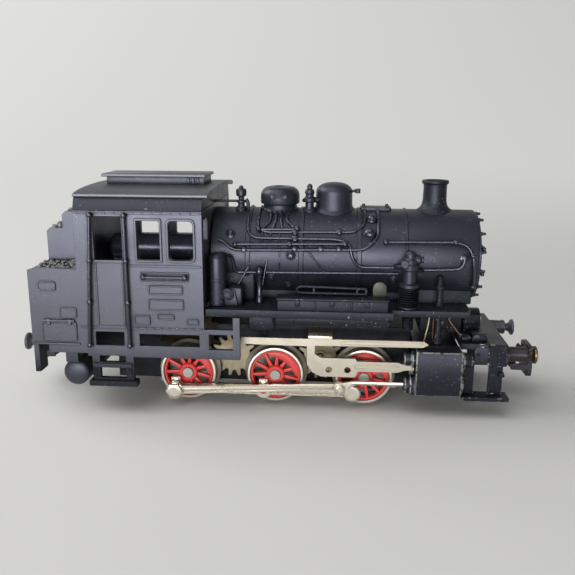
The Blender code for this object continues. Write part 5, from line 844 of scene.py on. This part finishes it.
def stud(x, angle, profile, side, steps=20):
    """A small turned boss that stands square to the skin: its profile's heights run out along the radius."""
    radius, lift = np.array(profile, float).T[:, :, None]
    t = np.linspace(0, 2 * math.pi, steps, endpoint=False)
    a = math.radians(angle)
    out, up = BOILER_RADIUS + lift, radius * np.sin(t)
    return woven(placed("X", side * (out * math.cos(a) - up * math.sin(a)),
                        BOILER_HEIGHT + out * math.sin(a) + up * math.cos(a), x + radius * np.cos(t)))


rubbed_black = cast_paint("rubbed_black_paint", "#14161c", "#22252e", 0.24, 0.25, 0.3, 0.8, bare="#7a7a7c")
knob = [(0, -0.1), (0.3, -0.1), (0.26, 0.3), (0.5, 0.5), (0.58, 0.75), (0.5, 1.0), (0.25, 1.15), (0, 1.18)]
plug = [(0, -0.2), (1.0, -0.2), (1.0, 0.15), (0.75, 0.25), (0.6, 0.3), (0.55, 0.6), (0.3, 0.7), (0, 0.7)]
clack = [(0, -0.2), (1.25, -0.2), (1.25, 0.2), (1.0, 0.4), (0.9, 0.9), (1.05, 1.1), (0.8, 1.4), (0.4, 1.5),
         (0.35, 1.9), (0, 2.0)]
clip = [(0, -0.1), (0.62, -0.1), (0.62, 0.5), (0.45, 0.6), (0, 0.6)]
column = [(0, 22.9), (0.75, 22.9), (0.75, 24.2), (0.55, 24.5), (0.55, 29.0), (0.8, 29.3), (0.8, 30.2),
          (0.4, 30.7), (0, 30.8)]
pipes = (([(-3.9, 80), (-3.9, 40), (-2.4, 34), (16.6, 36), (18.5, 46), (18.5, 80)], 0.3),
         ([(-6.0, 80), (-6.0, 33), (-4.4, 26.5), (13.0, 26.2), (15.6, 21), (15.7, 6), (17.3, -7.5),
           (26.4, -7)], 0.33),
         ([(-12.2, 24), (-10.9, 20.8), (-8.9, 11.3), (18.6, 14), (21.3, 29.6), (21.3, 80)], 0.36))
rail = [(22.8, 23), (37.2, 24), (39.4, 20), (40.5, 9), (40.9, -8), (41.1, -30)]
branches = (([(-2.85, 37), (-2.9, 21)], [(-8.1, 10.0, 26.3), (-9.3, 10.4, 23.2)]),
            ([(-1.1, 37), (-1.2, 21)], [(-2.3, 10.1, 29.0), (-3.4, 10.3, 23.2)]),
            ([(0.75, 37), (0.8, -24)], []), ([(4.2, 37), (6.6, 12.5), (11.7, -26)], []))
low = [(-8.0, -17), (25.6, -14.7)]
start = [(-10.6, -12.2, 33.2), (-9.4, -10.4, 33.0), (-8.9, -9.95, 31.8), (-8.7, -9.7, 30.0)]
steam = [(29.4, -9.5), (37.8, -7.6), (38.7, -3), (38.9, 6)]
plugs = ((3.2, 5.6), (-0.9, -23.5), (2.7, -36.6), (-9.6, 32), (24.6, -24))
clips = ((4.0, 14), (9.4, 14.4), (4.0, 26.3), (4.0, 34.4), (13.2, 14.6), (13.2, 35.6), (-6.6, 12))
for side_name, side in SIDES.items():
    shells = [swept(wrapped(route, 0.12, side), radius, 0.5) for route, radius in pipes]
    shells.append(swept([on_boiler(-8.4, 17.7, 0.75, side), on_boiler(14.4, 20.0, 0.75, side)], 0.3))
    shells += [stud(x, 17.7 + 0.1 * (x + 8.4), knob, side) for x in (-8.4, 3.0, 14.4)]
    shells.append(swept(wrapped(rail, 0.7, side), 0.3, 0.5))
    shells += [stud(x, a, knob, side) for x, a in ((22.8, 23), (37.0, 24), (40.5, 9), (41.05, -30))]
    for top, bar in ((-1.3, -2.9), (-0.2, -0.8), (0.9, 1.3), (2.1, 4.3)):
        route = [(top, 79), (top, 50), (bar, 38.4)]
        shells.append(swept(wrapped(route, 0.1, side, bend=0.8), 0.3, 0.2, 8))
    shells.append(swept([on_boiler(-3.7, 37.2, 0.25, side), on_boiler(4.4, 38.2, 0.25, side)], 0.32))
    shells += [stud(x, a, knob, side) for x, a in ((-3.7, 37.2), (4.4, 38.2))]
    shells += [swept(wrapped(route, 0.05, side, foot), 0.2, 0.4, 8) for route, foot in branches]
    shells += [stud(x, a, plug, side) for x, a in plugs]
    shells += [stud(19.5, 33.5, clack, side), stud(20.0, 55.6, [(0.8 * r, 0.8 * h) for r, h in clack], side)]
    shells += [stud(x, a, clip, side, 14) for x, a in clips]
    if side_name == "right":
        shells += [swept(start + wrapped(low, 0.12, side), 0.32, 0.5),
                   swept(wrapped(steam, 0.25, side), 0.34, 0.5),
                   stud(38.9, 6, [(0.9 * r, 0.7 * h) for r, h in plug], side)]
    else:
        shells.append(swept(wrapped([(-8.6, -4)] + low + [(26.6, -20)], 0.12, side), 0.32, 0.5))
    shells.append(turned(column, "Z", (-3.3, side * 10.4), 20))
    piece("boiler_pipework_" + side_name, shells, rubbed_black, smooth=45.0)
bolt = [(0, 42.2), (0.35, 42.2), (0.35, 42.75), (0.2, 42.9), (0, 42.9)]
shells = [slab(eased(rectangle((17.6, 24.2), (-1.9, 1.9)), 0.5), "Z", 41.4, 42.45, 0.15)]
shells += [turned(bolt, "Z", (x, y), 12) for x in (18.4, 23.4) for y in (-1.2, 1.2)]
piece("feed_saddle", shells, boiler_black)

# On the right-hand board stand the ribbed air pump, the feed tank and a valve box. On each toolbox lid
# stand a long bail handle and a half-round plate of unpainted zinc.
PUMP = (27.6, -12.3)
ribs = [(2.1 - 0.62 * (k % 2), 23.55 + 0.24 * k) for k in range(16)]
profile = [(0, 23.3), (2.15, 23.3), (2.15, 23.5)] + ribs
profile += [(1.5, 27.4), (2.0, 27.6), (2.0, 28.2), (1.35, 28.45), (1.3, 31.0), (1.75, 31.2), (1.8, 32.2),
            (1.5, 32.5), (1.5, 33.2), (1.15, 33.6), (1.1, 34.5), (0.7, 34.9), (0, 35.0)]
outlet = [(0, 0.0), (0.95, 0.0), (0.95, 1.2), (0.6, 1.5), (0.6, 2.0), (0, 2.1)]
cap = [(0, 0.0), (0.75, 0.0), (0.75, 1.1), (0.5, 1.3), (0, 1.35)]
thread = [(1.25 - 0.25 * (k % 2), 18.7 + 0.22 * k) for k in range(14)]
shells = [turned(profile, "Z", PUMP, 40),
          moved(turned(outlet, "X", (PUMP[1], 33.2), 20), x=28.3),
          moved(turned(cap, "Y", (26.4, 32.6), 16), y=-14.2),
          swept([(26.6, -12.3, 31.7), (25.4, -11.8, 31.6), (24.9, -10.4, 31.2)], 0.45),
          swept([(28.8, -12.2, 31.0), (29.8, -11.2, 30.8), (30.4, -10.0, 30.6)], 0.4),
          turned([(0, 18.4), (0.8, 18.4)] + thread + [(1.2, 22.0), (0, 22.0)], "Z", PUMP, 32)]
piece("air_pump_ribbed", shells, boiler_black, stands_for=["air_pump"])
profile = [(0, 23.3), (1.87, 23.3), (1.87, 23.9), (1.8, 24.0), (1.8, 28.3), (1.88, 28.4), (1.88, 28.8),
           (1.8, 28.9), (1.8, 32.9), (1.65, 33.5), (1.2, 33.95), (0.6, 34.15), (0.4, 34.2), (0, 34.2)]
shells = [turned(profile, "Z", (-11.7, -13.0), 40)]
piece("feed_tank_turned", shells, boiler_black, stands_for=["feed_tank"])
bracket = eased([(-13.2, 23.0), (-7.4, 23.0), (-8.0, 26.6), (-11.0, 27.0)], 0.5)
cover = [(0, -14.3), (0.5, -14.3), (0.55, -14.1), (0.85, -14.1), (1.0, -14.35), (1.2, -14.3), (1.3, -13.7),
         (0, -13.7)]
shells = [box((-9.6, -6.6), (-13.6, -8.6), (22.9, 26.9), 0.35), slab(bracket, "Y", -13.9, -13.4, 0.1),
          turned(cover, "Y", (-9.5, 25.6), 28)]
piece("valve_box", shells, boiler_black)
loop = [(18.8, 13.9, 26.2), (6.0, 13.9, 26.25), (4.9, 13.9, 26.4), (4.7, 13.9, 27.0), (5.2, 13.9, 27.55),
        (6.4, 13.9, 27.6), (18.8, 13.9, 27.3)]
half_round = np.concatenate([[(20.2, 25.6)], arc((21.6, 27.4), 1.4, 180, 0, 14), [(23.0, 25.6)]])
for side_name, side in SIDES.items():
    shells = [swept(sided(loop, side), 0.28, 0.6)]
    shells += [box((x, x + 0.5), flank(side, 13.7, 14.1), (25.6, 27.4), 0.1) for x in (8.0, 16.8, 18.6)]
    piece("bail_handle_" + side_name, shells, dusty_black)
    shells = [slab(half_round, "Y", side * 13.5, side * 13.85, 0.08)]
    piece("half_round_plate_" + side_name, shells, bare_zinc)

# The cab and bunker are one zinc casting in black paint, lifted to a grey-black, greyer than the boiler's, as
# painted sheen; below 14.5 mm it is painted darker, as painted shade.
# Frames, rails, steps, plates and rivets were cast on it in relief; the reversing relay's drum stands inside.
cab_sheen_grey = cast_paint("cab_paint_painted_sheen", "#2d2e31", "#393a3e", 0.38, 0.3, 0.22, 0.9, 14.5)
dressed("cab_casting", cab_sheen_grey)
CAB_SIDE = 17.5
cab_windows = (((-27.45, -21.95), 0.3), ((-21.05, -15.25), 1.1))
cab_plates = (((-26.6, -16.7), (28.85, 30.75)), ((-25.1, -18.0), (26.15, 28.05)),
              ((-25.2, -17.9), (22.85, 25.15)), ((-28.3, -24.9), (19.65, 21.75)),
              ((-23.5, -19.9), (20.85, 22.05)), ((-17.4, -14.9), (19.75, 21.15)))
door_rails = (((-37.7, 15.2), (-36.2, 42.2)), ((-29.3, 15.2), (-29.3, 42.2)))
rail_knob = [(0, -0.15), (0.3, -0.15), (0.28, 0.35), (0.5, 0.5), (0.58, 0.75), (0.5, 1.0), (0.25, 1.13),
             (0, 1.15)]
rivets = [(x, 42.55) for x in np.arange(-39.0, -14.0, 1.9)]
rivets += [(x, 18.95) for x in np.arange(-27.6, -14.4, 1.65)]
for side_name, side in SIDES.items():
    face = flank(side, CAB_SIDE - 0.15, CAB_SIDE + 0.28)
    low = flank(side, CAB_SIDE - 0.15, CAB_SIDE + 0.18)
    shells = [framed(eased(rectangle(x, (32.75, 41.55)), ease), 0.45, "Y", *face) for x, ease in cab_windows]
    door = rectangle((-35.9, -30.05), (19.0, 32.9))
    shells += [framed(eased(door, 0.3), 0.35, "Y", *low),
               box((-36.2, -29.8), face, (32.5, 33.1), 0.1),
               box((-29.0, -14.2), low, (31.75, 32.2), 0.08),
               box((-39.6, -14.2), low, (18.75, 19.1), 0.08),
               box((-39.6, -14.2), low, (42.35, 42.75), 0.08)]
    for x, z in cab_plates:
        plate = eased(rectangle(x, z), 0.3)
        shells.append(slab(plate, "Y", side * (CAB_SIDE - 0.1), side * (CAB_SIDE + 0.12), 0.05))
        shells.append(framed(plate, 0.3, "Y", *face))
    rail = side * (CAB_SIDE + 0.75)
    rails = [swept([(-25.9, rail, 29.8), (-17.4, rail, 29.8)], 0.3)]
    heads = [(x, 29.8) for x in (-25.9, -17.4)]
    for foot, top in door_rails:
        rails.append(swept([(foot[0], rail, foot[1]), (top[0], rail, top[1])], 0.34))
        heads += [np.add(foot, t * np.subtract(top, foot)) for t in (0, 0.34, 0.66, 1)]
    knob = [(r, CAB_SIDE + h) for r, h in rail_knob]
    rails += [faced(knob, side, spot, 14) for spot in heads]
    piece("cab_rails_" + side_name, rails, rubbed_black, smooth=45.0)
    shells += [round_head(side, spot, 0.22, CAB_SIDE, CAB_SIDE + 0.3) for spot in rivets]
    tread = rectangle((-37.4, -29.1), (10.35, 10.75))
    shells += [slab(tread, "Y", side * 15.4, side * (CAB_SIDE + 0.4), 0.1),
               box((-37.4, -29.1), flank(side, 15.4, CAB_SIDE + 0.5), (6.4, 7.0), 0.12)]
    piece("cab_trim_" + side_name, shells, cab_sheen_grey, smooth=15.0)
drum_black = cast_paint("blue_black_lacquer", "#262a33", "#3a3f4a", 0.26, 0.6, 0.15, 0.9)
dressed("reversing_relay", drum_black, 0.15)

# The bunker behind the cab: raised plates and a hinged locker on its sides, and a load of coal cast in,
# heaped on the side decks in broken lumps.
bunker_plates = (((-48.1, -44.3), (26.4, 28.45)), ((-43.9, -40.2), (20.75, 23.05)),
                 ((-47.8, -40.4), (15.8, 19.95)))
for side_name, side in SIDES.items():
    low = flank(side, CAB_SIDE - 0.15, CAB_SIDE + 0.28)
    shells = []
    for x, z in bunker_plates:
        plate = eased(rectangle(x, z), 0.6)
        shells.append(slab(plate, "Y", side * (CAB_SIDE - 0.1), side * (CAB_SIDE + 0.16), 0.06))
        shells.append(framed(plate, 0.3, "Y", *low))
    hinge = side * (CAB_SIDE + 0.25)
    shells.append(swept([(-47.4, hinge, 20.15), (-40.8, hinge, 20.15)], 0.25))
    strap = flank(side, CAB_SIDE, CAB_SIDE + 0.5)
    shells += [box((x - 0.45, x + 0.45), strap, (19.3, 20.5), 0.12) for x in (-46.3, -41.9)]
    shells.append(box((-49.9, -39.9), low, (14.95, 15.35), 0.08))
    piece("bunker_trim_" + side_name, shells, cab_sheen_grey, smooth=15.0)


def lump(centre, size, seed, rows=7, steps=10):
    """A broken lump: a ball whose radius is cut back by six flats, each at a seeded slant and depth."""
    cut = np.random.default_rng(seed)
    tilts = np.linspace(-math.pi / 2, math.pi / 2, rows)
    turns = np.arange(steps) * 2 * math.pi / steps
    tilt, turn = np.meshgrid(tilts, turns, indexing="ij")
    ray = np.stack([np.cos(tilt) * np.cos(turn), np.cos(tilt) * np.sin(turn), np.sin(tilt)], axis=-1)
    flats = cut.normal(size=(6, 3))
    flats /= np.linalg.norm(flats, axis=1, keepdims=True)
    depth = cut.uniform(0.55, 0.9, 6) / np.maximum(ray @ flats.T, 0.05)
    reach = np.minimum(1.0, depth.min(axis=-1))[..., None]
    return woven(np.array(centre) + size * ray * reach)


coal = cast_paint("painted_coal", "#585a5e", "#74746d", 0.5, 0.5, 0.6)
shells = []
seeds = np.random.default_rng(11)
for side in SIDES.values():
    for x in np.arange(-49.0, -40.2, 0.72):
        for y in np.arange(10.3, 16.8, 0.72):
            spot = seeds.uniform(-0.35, 0.35, 2)
            rise = 30.05 + 0.35 * seeds.uniform() + 0.12 * (17.0 - y)
            centre = (x + spot[0], side * (y + spot[1]), rise)
            shells.append(lump(centre, seeds.uniform(0.35, 0.62), int(seeds.integers(1 << 30))))
for x, z in ((-47.4, 38.1), (-46.2, 38.2), (-43.8, 41.6), (-42.2, 41.6), (-40.9, 41.6)):
    for y in np.arange(-8.4, 8.5, 1.4):
        spot = seeds.uniform(-0.5, 0.5, 2)
        centre = (x + spot[0], y + spot[1], z)
        shells.append(lump(centre, seeds.uniform(0.5, 0.9), int(seeds.integers(1 << 30))))
piece("coal_load", shells, coal, smooth=20.0)
handle = [(-50.05, 5.0, 24.0), (-50.9, 5.0, 24.0), (-50.9, 5.0, 30.2), (-50.05, 5.0, 30.2)]
shells = [swept(sided(handle, side), 0.3, 0.4) for side in SIDES.values()]
socket = [(1.0, -50.0), (1.0, -50.3), (1.2, -50.3), (1.2, -50.9), (0.95, -51.1), (0.8, -50.75), (0, -50.65)]
shells += [turned(socket, "X", (y, 20.5 if y else 26.4), 24) for y in (-12.5, 0.0, 12.5)]
panel = eased(rectangle((-15.8, 15.8), (16.6, 28.6)), 0.8)
shells.append(framed(panel, 0.35, "X", -50.25, -49.95))
piece("bunker_back", shells, cab_sheen_grey)

# The roof is a separate shell pressed over the eaves, painted darker below its gutters as painted shade,
# with a lidded ventilator along its ridge. The gutters and the lid's edges are beads, painted a pale grey
# as a painted highlight.
roof_black = cast_paint("roof_paint", "#202126", "#2c2d33", 0.42, 0.3, 0.3, 0.7, 45.6)
dressed("cab_roof", roof_black, 0.15)
shells = [box((x, x + 0.55), flank(side, 3.9, 4.35), (47.0, 48.6), 0.08)
          for x in (-19.4, -18.4, -17.4) for side in SIDES.values()]
shells += [box((-37.75, -15.35), (-5.05, 5.05), (48.75, 49.3), 0.12),
           box((-36.9, -15.75), (-4.18, 4.18), (46.9, 48.85), 0.1)]
piece("roof_vent", shells, cab_sheen_grey)
highlight_bead_grey = cast_paint("bead_paint_painted_highlight", "#55565a", "#6c6d71", 0.34, 0.4, 0.2, 0.8)
beads = [((-39.8, -12.75), 16.82, 45.9, 0.28), ((-37.75, -15.35), 5.0, 48.95, 0.3)]
shells = [swept(sided([(end, y, z) for end in x], side), radius)
          for x, y, z, radius in beads for side in SIDES.values()]
piece("roof_gutters", shells, highlight_bead_grey)

# Under the bunker hangs the rear air tank: a turned drum with domed ends that lies across the frame,
# held to the casting by two straps.
tank_black = cast_paint("air_tank_paint", "#202126", "#2c2d33", 0.42, 0.3, 0.3, 0.7)
TANK = (-42.2, 7.9)
half = [(2.8 * math.cos(a), 14.7 + 0.9 * math.sin(a)) for a in np.linspace(0, math.pi / 2, 7)[:-1]]
half.append((0, 15.6))
shells = [turned([(r, -h) for r, h in half[::-1]] + half, "Y", TANK, 48)]
for y in (-9.0, 9.0):
    strap = rectangle((2.7, 2.95), (y - 0.9, y + 0.9))
    shells += [turned(strap, "Y", TANK, 48, looped=True),
               box((-43.5, -40.9), (y - 1.3, y + 1.3), (9.8, 13.4), 0.15)]
piece("air_tank_turned", shells, tank_black, stands_for=["rear_air_tank"], smooth=40.0)

# The engine stands on a pale matt sheet that curves up behind it, under a low wide window behind the camera,
# a window at the left and a soft sky. Far back the sheet shows a pale tone, painted lighter at the left and
# greyer at the right as painted light, which lights no matt face.
# The lens looks a little down on the right-hand side.
FLOOR, SHEET_HALF = -0.03, 2200.0
SHEET_FRONT, SHEET_FLAT, SHEET_BEND, SHEET_TOP = -230.0, 90.0, 1500.0, 2200.0
t = np.linspace(0, math.pi / 2, 25)[1:]
bend = np.stack([SHEET_FLAT + SHEET_BEND * np.sin(t), SHEET_BEND * (1 - np.cos(t)) + FLOOR], 1)
ground = np.concatenate([[(SHEET_FRONT, FLOOR), (SHEET_FLAT, FLOOR)], bend,
                         [(SHEET_FLAT + SHEET_BEND, SHEET_TOP)]])
sheet = placed("X", ground[:, None, 0], ground[:, None, 1], np.array([[-SHEET_HALF, SHEET_HALF]]))
mesh = bpy.data.meshes.new("paper_sweep")
index = np.arange(len(ground) - 1)[:, None] * 2
mesh.from_pydata(sheet.reshape(-1, 3) * MM, [], (index + np.array([0, 2, 3, 1])).tolist())
mesh.shade_smooth()
paper, tree, shader, where = surface("matt_paper", Roughness=0.9, IOR=1.4, Specular_IOR_Level=0.1)
fibre = add(tree, "TexNoise", {"Vector": where, "Scale": per_mm(30.0), "Detail": 3.0})
tone = add(tree, "Mix", {0: fibre.outputs["Fac"], 6: linear("#cbcac6"), 7: linear("#cecdc9")},
           data_type="RGBA")
tree.links.new(tone.outputs[2], shader.inputs["Base Color"])
apart = add(tree, "SeparateXYZ", {"Vector": where})
# Painted light: far back the sheet glows from pale at the left to grey at the right, for the fall of the
# light from the left.
along = add(tree, "MapRange", {"Value": apart.outputs["X"], 1: -0.8, 2: 0.6})
painted_falloff_tone = add(tree, "Mix", {0: along.outputs[0], 6: linear("#e9eae5"), 7: linear("#c2c2c0")}, data_type="RGBA")
far = add(tree, "MapRange", {"Value": apart.outputs["Y"], 1: 0.03, 2: 0.4}, interpolation_type="SMOOTHSTEP")
rays = add(tree, "LightPath").outputs
seen = add(tree, "Math", {0: rays["Is Camera Ray"], 1: rays["Is Glossy Ray"]}, operation="MAXIMUM")
seen = add(tree, "Math", {0: seen.outputs[0], 1: rays["Is Transmission Ray"]}, operation="MAXIMUM")
share = add(tree, "Math", {0: seen.outputs[0], 1: far.outputs[0]}, operation="MULTIPLY")
painted_falloff_backdrop = add(tree, "Emission", {"Color": painted_falloff_tone.outputs[2]})
shown = add(tree, "MixShader", {0: share.outputs[0], 1: shader.outputs[0], 2: painted_falloff_backdrop.outputs[0]})
tree.links.new(shown.outputs[0], tree.nodes["Material Output"].inputs["Surface"])
mesh.materials.append(paper)
floor = bpy.data.objects.new("paper_sweep", mesh)
bpy.context.scene.collection.objects.link(floor)
floor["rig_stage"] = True


def aimed(spot, target):
    """A light's matrix: it stands at a spot in millimetres and its -Z axis points at the target."""
    back = np.array(spot, float) - np.array(target, float)
    back /= np.linalg.norm(back)
    side = np.cross((0.0, 0.0, 1.0), back)
    side /= np.linalg.norm(side)
    turned_to = Matrix.Identity(4)
    for row in range(3):
        turned_to[row][:] = (side[row], np.cross(back, side)[row], back[row], spot[row] * MM)
    return turned_to


for name, spot, target, size, power in (
        ("front_window", (-150.0, -1000.0, 40.0), (0.0, 0.0, 30.0), (0.8, 0.45), 13.0),
        ("side_window", (-450.0, 40.0, 350.0), (0.0, 0.0, 20.0), (0.4, 0.4), 2.3),
        ("sky_light", (-250.0, -380.0, 800.0), (0.0, 0.0, 0.0), (0.8, 0.8), 3.9)):
    lamp = bpy.data.lights.new(name, "AREA")
    lamp.shape = "RECTANGLE"
    lamp.size, lamp.size_y = size
    lamp.energy = power
    made = bpy.data.objects.new(name, lamp)
    made.matrix_world = aimed(spot, target)
    bpy.context.scene.collection.objects.link(made)

ROOM_TINT, ROOM_STRENGTH = "#e6e8ee", 0.28
world = bpy.data.worlds.new("soft_room")
world.use_nodes = True
world.node_tree.nodes["Background"].inputs["Color"].default_value = linear(ROOM_TINT)
world.node_tree.nodes["Background"].inputs["Strength"].default_value = ROOM_STRENGTH
bpy.context.scene.world = world

FOCAL_LENGTH, SENSOR_WIDTH = 42.98, 36.0
VIEW_FROM = (12.411, -149.903, 60.43)
YAW, PITCH, ROLL = (math.radians(angle) for angle in (-4.023, 13.656, 0.28))
ahead = np.array([math.sin(YAW) * math.cos(PITCH), math.cos(YAW) * math.cos(PITCH), -math.sin(PITCH)])
level = np.array([math.cos(YAW), -math.sin(YAW), 0.0])
above = np.cross(level, ahead)
right = math.cos(ROLL) * level + math.sin(ROLL) * above
up = math.cos(ROLL) * above - math.sin(ROLL) * level
lens = bpy.data.cameras.new("photo_view")
lens.lens = FOCAL_LENGTH
lens.sensor_width = SENSOR_WIDTH
lens.clip_start, lens.clip_end = 0.005, 20.0
camera = bpy.data.objects.new("photo_view", lens)
rows = [[right[i], up[i], -ahead[i], VIEW_FROM[i] * MM] for i in range(3)]
camera.matrix_world = Matrix(rows + [[0, 0, 0, 1]])
bpy.context.scene.collection.objects.link(camera)
bpy.context.scene.camera = camera
bpy.context.scene.view_settings.view_transform = "Standard"

low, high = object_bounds()
